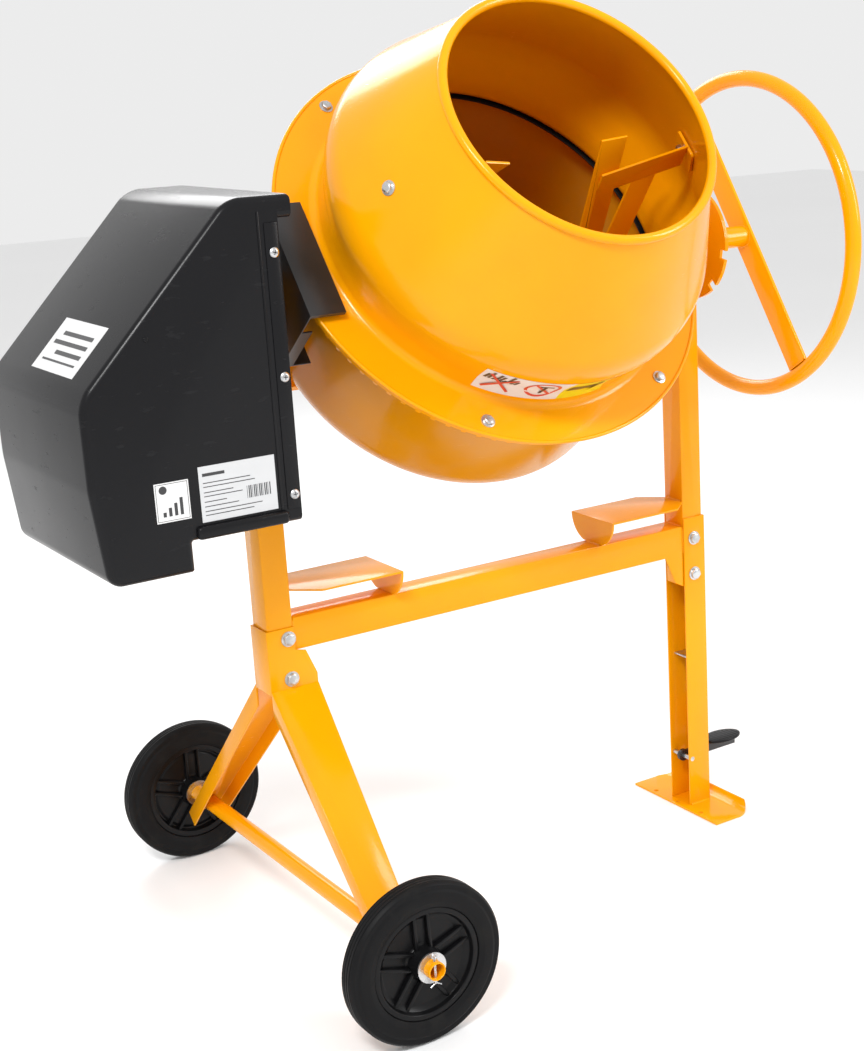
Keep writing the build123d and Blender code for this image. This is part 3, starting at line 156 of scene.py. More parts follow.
class Finish:
    """A procedural material."""

    def __init__(self, name, **constants):
        self.material = bpy.data.materials.new(name)
        self.material.use_nodes = True
        self.tree = self.material.node_tree
        self.shader = self.tree.nodes["Principled BSDF"]
        for key, value in constants.items():
            label = key.replace("_", " ").title().replace("Ior", "IOR")
            self.shader.inputs[label].default_value = value
        self.place = self.node("ShaderNodeTexCoord", {}, {}).outputs["Object"]

    def node(self, kind, choices, values):
        node = self.tree.nodes.new(kind)
        for key, value in choices.items():
            setattr(node, key, value)
        for key, value in values.items():
            if isinstance(value, Amount):
                value = value.socket
            if isinstance(value, bpy.types.NodeSocket):
                self.tree.links.new(value, node.inputs[key])
            else:
                node.inputs[key].default_value = value
        return node

    def noise(self, scale, detail=3.0, stretch=(1, 1, 1)):
        spread = self.node("ShaderNodeMapping", {}, {"Vector": self.place, "Scale": stretch})
        node = self.node(
            "ShaderNodeTexNoise", {},
            {"Vector": spread.outputs[0], "Scale": scale, "Detail": detail, "Roughness": 0.55})
        return Amount(self, node.outputs["Fac"])

    def cells(self, scale):
        node = self.node("ShaderNodeTexVoronoi", {}, {"Vector": self.place, "Scale": scale})
        return Amount(self, node.outputs["Distance"])

    def ramp(self, value, low, high):
        node = self.node(
            "ShaderNodeMapRange", {"interpolation_type": "SMOOTHSTEP"},
            {"Value": value, "From Min": low, "From Max": high})
        return Amount(self, node.outputs["Result"])

    def mix(self, amount, first, second):
        node = self.node("ShaderNodeMix", {"data_type": "RGBA"}, {0: amount})
        for index, colour in ((6, first), (7, second)):
            if isinstance(colour, bpy.types.NodeSocket):
                self.tree.links.new(colour, node.inputs[index])
            else:
                node.inputs[index].default_value = (*colour, 1)
        return node.outputs[2]

    def wear(self, key, value):
        if isinstance(value, Amount):
            value = value.socket
        self.tree.links.new(value, self.shader.inputs[key])

    def done(self, colour, roughness, height, depth, strength):
        """Wires the colour, the roughness and a bump, and gives the material."""
        self.wear("Base Color", colour)
        self.wear("Roughness", roughness)
        node = self.node(
            "ShaderNodeBump", {}, {"Height": height, "Distance": depth, "Strength": strength})
        self.wear("Normal", node.outputs["Normal"])
        return self.material


def tint(colour, factor):
    return tuple(min(1.0, channel * factor) for channel in colour)


def enamel(name, gloss=0.14, dust=0.0, shade=1.0):
    """Yellow enamel: faint cloudiness, orange peel, fine handling marks and some dust. A shade below 1
    darkens the base colours as painted shade.
    """
    look = settings()
    finish = Finish(name, coat_weight=0.08, coat_roughness=0.05, specular_ior_level=0.2)
    cloud = finish.ramp(finish.noise(5.0), 0.35, 0.7)
    speck = finish.ramp(finish.noise(900.0, 1.0), 0.70, 0.76)
    marks = finish.ramp(finish.noise(60.0, 4.0, (1, 1, 14)), 0.64, 0.72)
    # A shade below 1 scales both enamel colours down: painted shade, the paint itself is the same.
    base = finish.mix(cloud * 0.35, tint(look.yellow, shade), tint(look.orange, shade))
    base = finish.mix(speck * 0.25, base, tint(look.orange, 0.55))
    base = finish.mix(marks * 0.10, base, tint(look.yellow, 1.15))
    if dust:
        film = finish.ramp(finish.noise(9.0, 6.0), 0.42, 0.66)
        base = finish.mix(film * dust, base, (0.45, 0.40, 0.31))
        rough = gloss + film * dust * 0.9 + marks * 0.08
    else:
        rough = gloss + cloud * 0.07 + marks * 0.10
    peel = finish.noise(260.0, 2.0) + finish.noise(28.0, 2.0) * 1.6
    return finish.done(base, rough, peel, 0.00035, 0.35)


def zinc(name, colour=(0.66, 0.67, 0.68), rough=0.26):
    """Bright plated steel with spangle and a few dull patches."""
    finish = Finish(name, metallic=1.0)
    patch = finish.ramp(finish.noise(70.0, 3.0), 0.4, 0.7)
    spangle = finish.cells(480.0)
    return finish.done(
        finish.mix(patch * 0.6 + spangle * 0.2, colour, tint(colour, 0.62)),
        rough + patch * 0.2, finish.noise(700.0, 2.0), 0.0001, 0.4)


def turned(name, colour=(0.5, 0.5, 0.51)):
    """Turned steel with fine rings across X."""
    finish = Finish(name, metallic=1.0)
    rings = finish.noise(60.0, 2.0, (30, 1, 1))
    stain = finish.ramp(finish.noise(30.0, 4.0), 0.5, 0.75)
    return finish.done(
        finish.mix(stain * 0.5, colour, (0.23, 0.2, 0.17)),
        0.28 + rings * 0.18 + stain * 0.2, rings, 0.0001, 0.4)


def iron(name):
    """Dark cast iron with sand grain and a greasy film."""
    finish = Finish(name, metallic=0.6)
    grease = finish.ramp(finish.noise(22.0, 4.0), 0.4, 0.7)
    return finish.done(
        finish.mix(grease, (0.07, 0.068, 0.066), (0.022, 0.02, 0.018)),
        0.62 - grease * 0.27, finish.noise(420.0, 4.0) + finish.cells(260.0) * 0.5, 0.0004, 0.5)


def moulded(name, colour, rough=0.4, grain=520.0, scuffs=0.3):
    """Moulded plastic with a fine grain and pale scuffs."""
    finish = Finish(name, specular_ior_level=0.18)
    scuff = finish.ramp(finish.noise(34.0, 6.0, (1, 1, 3)), 0.62, 0.74)
    hair = finish.ramp(finish.noise(240.0, 3.0, (1, 1, 0.06)), 0.72, 0.78)
    pale = tuple(channel * 1.5 + 0.008 for channel in colour)
    return finish.done(
        finish.mix(scuff * scuffs + hair * scuffs * 0.6, colour, pale),
        rough + scuff * 0.12 + finish.noise(12.0) * 0.08,
        finish.cells(grain) * 0.7 + finish.noise(grain, 2.0) * 0.5, 0.00015, 0.16)


def rubber(name, colour=(0.006, 0.006, 0.0065)):
    """Black rubber, dusty in its hollows."""
    finish = Finish(name, specular_ior_level=0.12)
    dust = finish.ramp(finish.noise(38.0, 5.0), 0.5, 0.72)
    return finish.done(
        finish.mix(dust * 0.35, colour, (0.022, 0.021, 0.019)),
        0.48 + dust * 0.25, finish.noise(340.0, 3.0), 0.0003, 0.5)


def satin_black(name):
    """Black stove enamel on pressed steel."""
    finish = Finish(name, coat_weight=0.15, coat_roughness=0.2)
    cloud = finish.noise(9.0, 4.0)
    return finish.done(
        finish.mix(cloud, tuple(settings().black), (0.024, 0.024, 0.026)),
        0.34 + cloud * 0.14, finish.noise(300.0, 2.0), 0.0003, 0.4)


def printed(name, colour, rough=0.32):
    """Printed film: almost even, with a slight sheen."""
    finish = Finish(name, coat_weight=0.2, coat_roughness=0.15)
    cloud = finish.noise(40.0, 3.0)
    return finish.done(
        finish.mix(cloud * 0.3, colour, tint(colour, 0.82)),
        rough + cloud * 0.12, finish.noise(160.0, 2.0), 0.0001, 0.3)


def cast_alloy(name):
    """Die-cast aluminium with a matt skin."""
    finish = Finish(name, metallic=1.0)
    cloud = finish.ramp(finish.noise(45.0, 5.0), 0.35, 0.7)
    return finish.done(
        finish.mix(cloud, (0.62, 0.63, 0.65), (0.42, 0.42, 0.43)),
        0.36 + cloud * 0.18, finish.noise(380.0, 3.0), 0.0003, 0.5)


MATERIALS = {}


def make_materials():
    MATERIALS.update(
        enamel=enamel("enamel"),
        # The bowl's enamel is the drum's yellow darkened to 0.72: painted shade on the lower bowl. Its
        # dust film is real dust.
        bowl_enamel=enamel("bowl_enamel", 0.18, 0.06, 0.72),
        zinc=zinc("zinc"),
        turned=turned("turned_steel"),
        bronze=zinc("sintered_bronze", (0.5, 0.33, 0.14), 0.36),
        iron=iron("cast_iron"),
        black_paint=satin_black("black_enamel"),
        housing=moulded("housing_plastic", tuple(settings().black), 0.21, 620.0),
        rim=moulded("rim_plastic", (0.005, 0.005, 0.0055), 0.25, 700.0, 0.15),
        tyre=rubber("tyre_rubber"),
        seal=rubber("seal_rubber", (0.01, 0.01, 0.01)),
        belt=rubber("belt_rubber", (0.02, 0.02, 0.02)),
        alloy=cast_alloy("cast_alloy"),
        switch=moulded("switch_plastic", (0.05, 0.05, 0.055), 0.42),
        green=moulded("green_plastic", (0.02, 0.34, 0.06), 0.3, 400.0, 0.1),
        red=moulded("red_plastic", (0.62, 0.02, 0.012), 0.3, 400.0, 0.1),
        blue=moulded("blue_plastic", (0.01, 0.07, 0.32), 0.35, 400.0, 0.1),
        paper=printed("label_white", (0.72, 0.72, 0.72)),
        plate=printed("label_silver", (0.56, 0.57, 0.58)),
        ink=printed("label_ink", (0.03, 0.03, 0.032)),
        rose=printed("label_rose", (0.62, 0.05, 0.04)),
        amber=printed("label_amber", (0.78, 0.66, 0.01)),
    )


SLOT_LOOKS = {
    "frame_paint": "enamel", "drum_paint": "enamel", "zinc": "zinc", "bare_steel": "turned",
    "gear_iron": "iron", "black_paint": "black_paint", "black_plastic": "housing",
    "rim_plastic": "rim", "tyre_rubber": "tyre", "seal_rubber": "seal", "belt_rubber": "belt",
    "motor_aluminium": "alloy", "bronze": "bronze", "switch_plastic": "switch",
    "green_button": "green", "red_button": "red", "inlet_plastic": "blue",
}
NODE_SLOTS = {part["node"]: part["material_slot"] for part in frame["record"]["subparts"]}


# ---------------------------------------------------------------- mesh tools
def chain(bm, corners, closed=False, flat=5):
    """Wire through (x, z, radius) corners, each rounded to its radius, in the XZ plane."""
    points = [bm.verts.new((x, 0, z)) for x, z, _ in corners]
    pairs = list(zip(points, points[1:]))
    if closed:
        pairs.append((points[-1], points[0]))
    for first, second in pairs:
        bm.edges.new((first, second))
    places = [point.co.copy() for point in points]
    count = len(points)
    for index, (_, _, radius) in enumerate(corners):
        if not radius:
            continue
        before = (places[index - 1] - places[index]).normalized()
        after = (places[(index + 1) % count] - places[index]).normalized()
        turn = math.pi - before.angle(after)
        bmesh.ops.bevel(
            bm, geom=[points[index]], affect="VERTICES", offset=radius * math.tan(turn / 2),
            segments=max(2, int(flat * turn)), profile=0.5, material=-1, clamp_overlap=False)
    return bm


def outward(bm):
    """Turns every face outwards."""
    bmesh.ops.recalc_face_normals(bm, faces=bm.faces[:])
    return bm


def swept(bm, steps):
    """Sweeps everything in a bmesh once round Z."""
    bmesh.ops.spin(
        bm, geom=bm.verts[:] + bm.edges[:], cent=(0, 0, 0), axis=(0, 0, 1), angle=math.tau,
        steps=steps, use_merge=True)
    return bm


def spun(corners, steps, closed=False, flat=5):
    """Surface made by turning a chain round Z."""
    bm = swept(chain(bmesh.new(), corners, closed, flat), steps)
    bmesh.ops.remove_doubles(bm, verts=bm.verts[:], dist=1e-6)
    return outward(bm)


def hoop(radius, tube, sides, steps, height=0.0):
    """Round bar bent into a closed ring round Z."""
    bm = bmesh.new()
    bmesh.ops.create_circle(bm, radius=tube, segments=sides, matrix=UPRIGHT)
    bmesh.ops.translate(bm, vec=(radius, 0, height), verts=bm.verts[:])
    return outward(swept(bm, steps))


def rod(bm, sides, radius, depth, place, tip=None):
    """Adds a closed rod, or a cone with its own tip radius, and gives its vertices."""
    return bmesh.ops.create_cone(
        bm, cap_ends=True, segments=sides, radius1=radius, radius2=tip or radius, depth=depth,
        matrix=place)["verts"]


def round_off(bm, edges, radius, segments=2, clamp=True):
    bmesh.ops.bevel(
        bm, geom=edges, affect="EDGES", offset=radius, segments=segments, profile=0.5,
        material=-1, clamp_overlap=clamp)


def drawn_in(corners, inset, limit):
    """Clockwise corners moved inwards by inset; those beyond limit keep their x."""
    result = []
    count = len(corners)
    for index, (x, z, radius) in enumerate(corners):
        here = Vector((x, z))
        before = (here - Vector(corners[index - 1][:2])).normalized()
        after = (Vector(corners[(index + 1) % count][:2]) - here).normalized()
        first, second = Vector((-before.y, before.x)), Vector((-after.y, after.x))
        moved = here + (first + second) * inset / (1 + first.dot(second))
        bend = -inset if before.x * after.y - before.y * after.x > 0 else inset
        if x > limit:
            moved.x = x
        result.append((moved.x, moved.y, max(radius + bend, 0.0006) if radius else 0))
    return result


def block(bm, low, high, radius=0.0, segments=3, mat=0):
    """Box between two corners with rounded edges."""
    low, high = Vector(low), Vector(high)
    size = high - low
    shape = Matrix.Translation((low + high) / 2) @ Matrix.Diagonal((*size, 1))
    made = bmesh.ops.create_cube(bm, size=1, matrix=shape)["verts"]
    faces = {face for vert in made for face in vert.link_faces}
    for face in faces:
        face.material_index = mat
    if radius:
        edges = list({edge for vert in made for edge in vert.link_edges})
        round_off(bm, edges, radius, segments)
    return bm


def join(bm, other, matrix=Matrix(), mat=None):
    """Adds another bmesh, moved by a matrix, and frees it."""
    other.transform(matrix)
    if mat is not None:
        for face in other.faces:
            face.material_index = mat
    mesh = bpy.data.meshes.new("part")
    other.to_mesh(mesh)
    other.free()
    bm.from_mesh(mesh)
    bpy.data.meshes.remove(mesh)
    return bm


def slab(bm, low, high, radius=0.0, segments=3, mat=0, matrix=Matrix()):
    """Adds a separate rounded box, moved by a matrix."""
    return join(bm, block(bmesh.new(), low, high, radius, segments, mat), matrix)


def piece(name, bm, body, looks, replaces=(), smooth=35):
    """Makes an object of a bmesh that rides on a body and stands for some CAD nodes."""
    mesh = bpy.data.meshes.new(name)
    for face in bm.faces:
        face.smooth = True
    for edge in bm.edges:
        if len(edge.link_faces) == 2 and edge.calc_face_angle(0) > math.radians(smooth):
            edge.smooth = False
    bm.to_mesh(mesh)
    bm.free()
    made = bpy.data.objects.new(name, mesh)
    bpy.context.collection.objects.link(made)
    for look in looks:
        mesh.materials.append(MATERIALS[look])
    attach(made, body)
    if replaces:
        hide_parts(*replaces)
    return made


def softened(node, name, edge, look):
    """Copy of a CAD node whose long sharp edges are rounded."""
    bm = bmesh.new()
    bm.from_mesh(frame["nodes"][node].data)
    bmesh.ops.remove_doubles(bm, verts=bm.verts[:], dist=2e-6)
    bmesh.ops.dissolve_limit(bm, angle_limit=math.radians(0.6), verts=bm.verts[:], edges=bm.edges[:])
    sharp = [
        item for item in bm.edges
        if len(item.link_faces) == 2 and item.calc_length() > SHORTEST_EDGE
        and item.calc_face_angle(0) > SHARP_EDGE]
    round_off(bm, sharp, edge, 2, False)
    body = next(key for key, nodes in frame["record"]["behaviour"]["bodies"].items() if node in nodes)
    return piece(name, bm, body, [look], [node])


def hex_head(across, height, washer=0.0, washer_thick=0.0015):
    """Domed hexagon head round Z that stands on z = 0, with a round washer under it."""
    bm = bmesh.new()
    base = 0.0
    if washer:
        base = washer_thick
        disc = rod(bm, 28, washer, washer_thick, Matrix.Translation((0, 0, washer_thick / 2)))
        rim = list({edge for vert in disc for edge in vert.link_edges if vert.co.z > washer_thick * 0.9
                    and edge.other_vert(vert).co.z > washer_thick * 0.9})
        round_off(bm, rim, washer_thick * 0.3)
    radius = across / math.sqrt(3)
    head = bmesh.new()
    rod(head, 6, radius, height, Matrix.Translation((0, 0, base + height / 2)))
    top = [face for face in head.faces if face.normal.z > 0.9]
    inset = bmesh.ops.inset_region(head, faces=top, thickness=radius * 0.13, depth=radius * 0.1)
    cap = [face for face in head.faces if face.normal.z > 0.9 and face not in inset["faces"]]
    bmesh.ops.inset_region(head, faces=cap, thickness=radius * 0.3, depth=radius * 0.06)
    edges = [edge for edge in head.edges if edge.calc_face_angle(0) > math.radians(40)]
    round_off(head, edges, radius * 0.05)
    return join(bm, head)


def pan_head(radius, height):
    """Cross-slotted pan head round Z that stands on z = 0; the cross is two thin bars in the second
    material, painted shade for the recess.
    """
    bm = spun([(0, height, 0), (radius * 0.62, height, radius * 0.5),
               (radius, height * 0.35, height * 0.3), (radius, 0, 0)], 28)
    # The cross is not cut in: two thin bars on top carry the second material, black, as painted shade
    # for the recess.
    for turn in (0, math.pi / 2):
        bar = block(bmesh.new(), (-radius * 0.5, -radius * 0.09, height * 0.97),
                    (radius * 0.5, radius * 0.09, height * 1.01))
        join(bm, bar, Matrix.Rotation(turn, 4, "Z"), 1)
    return bm


def shank(radius, depth):
    """Plain rod round Z, from z = 0 down by depth."""
    bm = bmesh.new()
    rod(bm, 20, radius, depth, Matrix.Translation((0, 0, -depth / 2)))
    return bm


def facing(point, direction, turn=0.0):
    """Matrix that stands a shape made on Z at a point, facing a direction."""
    spin = Vector(direction).to_track_quat("Z", "Y").to_matrix().to_4x4()
    return Matrix.Translation(point) @ spin @ Matrix.Rotation(turn, 4, "Z")


def bead(start, end, radius, wobble=0.16):
    """Weld bead from start to end: a rippled round bar with closed ends."""
    start, end = Vector(start), Vector(end)
    run = end - start
    count = max(4, int(run.length / (radius * 0.9)))
    bm = bmesh.new()
    bmesh.ops.create_circle(bm, cap_ends=True, radius=radius * 0.7, segments=8)
    faces = bm.faces[:]
    for step in range(count):
        pulled = bmesh.ops.extrude_discrete_faces(bm, faces=faces)
        faces = pulled["faces"]
        verts = list({vert for face in faces for vert in face.verts})
        bmesh.ops.translate(bm, vec=(0, 0, run.length / count), verts=verts)
        swell = (1 + wobble) if step % 2 == 0 else 1 / (1 + wobble)
        if step == count - 1:
            swell = 0.6
        middle = Matrix.Translation((0, 0, -(step + 1) * run.length / count))
        bmesh.ops.scale(bm, vec=(swell, swell, 1), verts=verts, space=middle)
    bmesh.ops.remove_doubles(bm, verts=bm.verts[:], dist=1e-6)
    bmesh.ops.recalc_face_normals(bm, faces=bm.faces[:])
    bm.transform(facing(start, run))
    return bm


def ring_bead(radius, tube, steps=72):
    """Rippled weld ring round Z."""
    bm = hoop(radius, tube, 8, steps)
    for vert in bm.verts:
        angle = math.atan2(vert.co.y, vert.co.x)
        vert.co.z += 0.12 * tube * math.cos(angle * steps / 2)
    return bm


# ---------------------------------------------------------------- operators
class MixerPiece:
    """What every piece's operator shares."""

    bl_options = {"REGISTER", "UNDO"}


class MIXER_OT_stage(MixerPiece, bpy.types.Operator):
    """Floor, light and camera"""

    bl_idname = "mixer.stage"
    bl_label = "Stage"

    def light(self, name, place, aim, size, power):
        lamp = bpy.data.lights.new(name, "AREA")
        lamp.shape = "RECTANGLE"
        lamp.size, lamp.size_y = size
        lamp.energy = power
        made = bpy.data.objects.new(name, lamp)
        bpy.context.collection.objects.link(made)
        toward = (Vector(aim) - Vector(place)).to_track_quat("-Z", "Y").to_matrix().to_4x4()
        made.matrix_world = Matrix.Translation(place) @ toward

    def execute(self, context):
        bm = bmesh.new()
        bmesh.ops.create_grid(bm, x_segments=1, y_segments=1, size=12)
        mesh = bpy.data.meshes.new("floor")
        bm.to_mesh(mesh)
        bm.free()
        floor = bpy.data.objects.new("floor", mesh)
        bpy.context.collection.objects.link(floor)
        finish = Finish("floor_paint")
        cloud = finish.noise(0.6, 2.0)
        finish.wear("Base Color", finish.mix(cloud, (0.90, 0.90, 0.90), (0.87, 0.87, 0.87)))
        finish.wear("Roughness", 0.7 + cloud * 0.1)
        mesh.materials.append(finish.material)

        world = bpy.data.worlds.new("studio")
        world.use_nodes = True
        world.node_tree.nodes["Background"].inputs["Color"].default_value = (1, 1, 1, 1)
        world.node_tree.nodes["Background"].inputs["Strength"].default_value = 0.84
        context.scene.world = world
        context.scene.view_settings.view_transform = "Standard"
        self.light("key", (-2.2, -2.2, 3.4), (0.1, 0, 0.8), (1.2, 0.6), 105)
        self.light("fill", (2.7, -2.4, 2.3), (0.1, 0, 0.8), (0.7, 2.0), 62)
        self.light("rim", (0.8, 3.0, 2.8), (0.1, 0, 0.9), (2.4, 1.4), 60)

        lens = bpy.data.cameras.new("camera")
        lens.sensor_width = 36
        lens.lens = 59.43
        lens.shift_x = -0.129
        lens.shift_y = 0.0129
        lens.clip_end = 60
        camera = bpy.data.objects.new("camera", lens)
        context.collection.objects.link(camera)
        camera.matrix_world = (
            Matrix.Translation((-1.28085, -2.1461, 1.2242))
            @ Matrix.Rotation(math.radians(-34.78), 4, "Z")
            @ Matrix.Rotation(math.radians(90 - 15.34), 4, "X")
            @ Matrix.Rotation(math.radians(-2.46), 4, "Z"))
        context.scene.camera = camera
        return {"FINISHED"}


class MIXER_OT_surfaces(MixerPiece, bpy.types.Operator):
    """Materials on the CAD pieces that stay"""

    bl_idname = "mixer.surfaces"
    bl_label = "Surfaces"

    def execute(self, context):
        make_materials()
        for name, node in frame["nodes"].items():
            # The handwheel's shaft is painted along with the wheel.
            key = "enamel" if name == "right_trunnion" else SLOT_LOOKS[NODE_SLOTS[name]]
            look = MATERIALS[key]
            for place in node.material_slots:
                place.material = look
        return {"FINISHED"}


class MIXER_OT_drum(MixerPiece, bpy.types.Operator):
    """Drum shells, their seal's lip and the pictogram strip"""

    bl_idname = "mixer.drum"
    bl_label = "Drum"

    def execute(self, context):
        steps = settings().drum_steps
        shell = spun([
            (0.3250, 0.0610, 0.0008), (0.2640, 0.0610, 0.012), (0.2640, 0.0950, 0.060),
            (0.2880, 0.1650, 0.070), (0.1949, 0.3450, 0), (0.1924, 0.3450, 0),
            (0.2855, 0.1650, 0.0675), (0.2615, 0.0950, 0.060), (0.2615, 0.0585, 0.0145),
            (0.3250, 0.0585, 0.0008)], steps, True, 11)
        join(shell, hoop(0.1935, 0.0065, 20, steps, 0.347))
        join(shell, hoop(0.3232, 0.0027, 14, steps, 0.0600))
        shell.transform(DRUM)
        piece("upper_shell", shell, "drum", ["enamel"], ["upper_drum"])

        bowl = spun([
            (0, -0.1850, 0), (0.2770, -0.1850, 0.055), (0.2810, 0.0540, 0.005),
            (0.3200, 0.0540, 0.0008), (0.3200, 0.0565, 0.0008), (0.2785, 0.0565, 0.0075),
            (0.2745, -0.1825, 0.0525), (0, -0.1825, 0)], steps, False, 9)
        bowl.transform(DRUM)
        # The lower bowl wears the darkened enamel: painted shade.
        piece("lower_bowl", bowl, "drum", ["bowl_enamel"], ["lower_drum"])

        lip = spun([
            (0.3180, 0.0565, 0), (0.3180, 0.0585, 0), (0.2625, 0.0585, 0), (0.2575, 0.0640, 0.0015),
            (0.2560, 0.0625, 0.0005), (0.2610, 0.0565, 0)], steps, True, 4)
        lip.transform(DRUM)
        piece("seal_lip", lip, "drum", ["seal"], ["drum_seal"])
        self.strip()
        return {"FINISHED"}

    def strip(self):
        """Three pictogram panels round the neck, drawn with generic signs."""
        first, last, low, high = math.radians(237), math.radians(281), 0.0745, 0.1380
        radius, on_card, on_sign = 0.26420, 0.0003, 0.00045
        paper, ink, rose, amber = range(4)
        bm = bmesh.new()
        run = radius * (last - first)

        def patch(corners, lift, mat):
            face = bm.faces.new([bm.verts.new((x, lift, z)) for x, z in corners])
            face.material_index = mat

        def bar(start, end, width, lift, mat):
            start, end = Vector(start), Vector(end)
            side = (end - start).orthogonal().normalized() * width / 2
            patch([start - side, end - side, end + side, start + side], lift, mat)

        def sign(middle, size, mat):
            ring = bmesh.new()
            bmesh.ops.create_circle(ring, radius=size, segments=28)
            inner = bmesh.ops.extrude_edge_only(ring, edges=ring.edges[:])
            verts = [item for item in inner["geom"] if isinstance(item, bmesh.types.BMVert)]
            bmesh.ops.scale(ring, vec=(0.82, 0.82, 1), verts=verts)
            join(bm, ring, Matrix.Translation((middle[0], on_card, middle[1])) @ UPRIGHT, mat)

        columns, rows = 48, 5
        step = run / columns
        for index in range(columns):
            mat = paper if index / columns < 0.62 else amber
            near, far = index * step, (index + 1) * step
            for row in range(rows):
                base, head = (low + (high - low) * edge / rows for edge in (row, row + 1))
                patch([(near, base), (far, base), (far, head), (near, head)], 0, mat)
        middle = (low + high) / 2
        half = (high - low) / 2
        # Left: a dark splash crossed out. Centre: a ringed and barred hand tool.
        for index in range(9):
            x = run * (0.03 + 0.026 * index)
            tall = half * (0.55 + 0.35 * math.sin(index * 2.3))
            foot = middle + half * 0.05
            bar((x, foot), (x + run * 0.012, foot + tall), run * 0.020, on_card, ink)
        for left, right in ((0.05, 0.24), (0.24, 0.05)):
            bar((run * left, middle - half * 0.75), (run * right, middle + half * 0.65), half * 0.13,
                on_sign, rose)
        centre = run * 0.45
        sign((centre, middle), half * 0.80, rose)
        for x0, z0, x1, z1, width, lift, mat in (
                (-0.30, 0.30, 0.40, 0.30, 0.16, on_card, ink),
                (0.05, -0.50, 0.05, 0.30, 0.14, on_card, ink),
                (-0.52, 0.52, 0.52, -0.52, 0.12, on_sign, rose)):
            bar((centre + half * x0, middle + half * z0), (centre + half * x1, middle + half * z1),
                half * width, lift, mat)
        # Right: the turning arrow.
        for index in range(10):
            bar((run * (0.65 + 0.02 * index), middle), (run * (0.67 + 0.02 * index), middle),
                half * 0.62, on_card, ink)
        patch([(run * 0.85, middle - half * 0.62), (run * 0.96, middle),
               (run * 0.85, middle + half * 0.62)], on_card, ink)
        for vert in bm.verts:
            angle = first + vert.co.x / radius
            # Above 85 mm the neck bends out on a radius of 60 mm, then runs straight to the belly.
            rise = min(max(0.0, vert.co.z - 0.0850), 0.0194)
            reach = radius + vert.co.y + 0.060 - math.sqrt(0.060 ** 2 - rise ** 2)
            reach += max(0.0, vert.co.z - 0.1044) * 0.3429
            vert.co = Vector((reach * math.cos(angle), reach * math.sin(angle), vert.co.z))
        bmesh.ops.recalc_face_normals(bm, faces=bm.faces[:])
        for face in bm.faces:
            middle = face.calc_center_median()
            if face.normal.dot(Vector((middle.x, middle.y, 0))) < 0:
                face.normal_flip()
        bm.transform(DRUM)
        piece("pictogram_strip", bm, "drum", ["paper", "ink", "rose", "amber"])


class MIXER_OT_drum_bolts(MixerPiece, bpy.types.Operator):
    """Bolts of the drum's flange and of its paddles"""

    bl_idname = "mixer.drum_bolts"
    bl_label = "Drum bolts"

    def execute(self, context):
        bm = bmesh.new()
        for index in range(6):
            angle = math.radians(4 + 60 * index)
            spot = Vector((0.303 * math.cos(angle), 0.303 * math.sin(angle), 0))
            up = Matrix.Translation(spot + Vector((0, 0, 0.061))) @ Matrix.Rotation(angle * 2.3, 4, "Z")
            join(bm, hex_head(*DRUM_BOLT), up)
            down = Matrix.Translation(spot + Vector((0, 0, 0.0470)))
            join(bm, shank(0.0040, 0.0020), Matrix.Translation(spot + Vector((0, 0, 0.061))))
            join(bm, shank(0.0040, 0.0010), down)
        bm.transform(DRUM)
        piece("flange_bolts", bm, "drum", ["zinc"], ["drum_bolts"])

        bm = bmesh.new()
        lean = math.atan2(0.288 - 0.1949, 0.345 - 0.165)
        for side in (1, -1):
            angle = math.radians(3)
            outward = Vector((math.cos(angle), math.sin(angle), 0)) * side
            normal = outward * math.cos(lean) + Vector((0, 0, math.sin(lean)))
            spot = outward * (0.288 - 0.075 * math.tan(lean)) + Vector((0, 0, 0.240))
            join(bm, hex_head(*DRUM_BOLT), facing(spot + normal * 0.0001, normal))
            join(bm, shank(0.0040, 0.0085), facing(spot, normal))
            join(bm, hex_head(*DRUM_NUT), facing(spot - normal * 0.0085, -normal))
            foot = math.radians(-28.8)
            spot = Vector((math.cos(foot), math.sin(foot), 0)) * 0.177 * side
            join(bm, hex_head(*DRUM_BOLT), facing(spot + Vector((0, 0, -0.185)), (0, 0, -1)))
            join(bm, hex_head(*DRUM_NUT), facing(spot + Vector((0, 0, -0.176)), (0, 0, 1)))
            join(bm, shank(0.0040, 0.0090), Matrix.Translation(spot + Vector((0, 0, -0.176))))
        bm.transform(DRUM)
        piece("paddle_bolts", bm, "drum", ["zinc"], ["blade_bolts"])
        return {"FINISHED"}


class MIXER_OT_plates(MixerPiece, bpy.types.Operator):
    """Tubes, bent plates and flat bars with rounded edges"""

    bl_idname = "mixer.plates"
    bl_label = "Plates and tubes"

    def execute(self, context):
        edge = settings().edge
        tubes = ("left_upright", "right_upright", "crossbeam")
        plates = (
            "leg_head", "wheel_legs", "foot_leg", "shelf_brackets", "foot_plate", "yoke", "lock_disc",
            "handwheel_spoke", "mixing_blades", "drive_plate", "pinion_guard", "pedal_lever",
            "rod_guide", "lock_rod")
        for name in tubes:
            softened(name, name + "_tube", edge * 1.9, "enamel")
        for name in plates:
            look = SLOT_LOOKS[NODE_SLOTS[name]]
            size = edge * 0.55 if name in ("drive_plate", "pinion_guard", "rod_guide") else edge
            softened(name, name + "_plate", size, look)
        return {"FINISHED"}


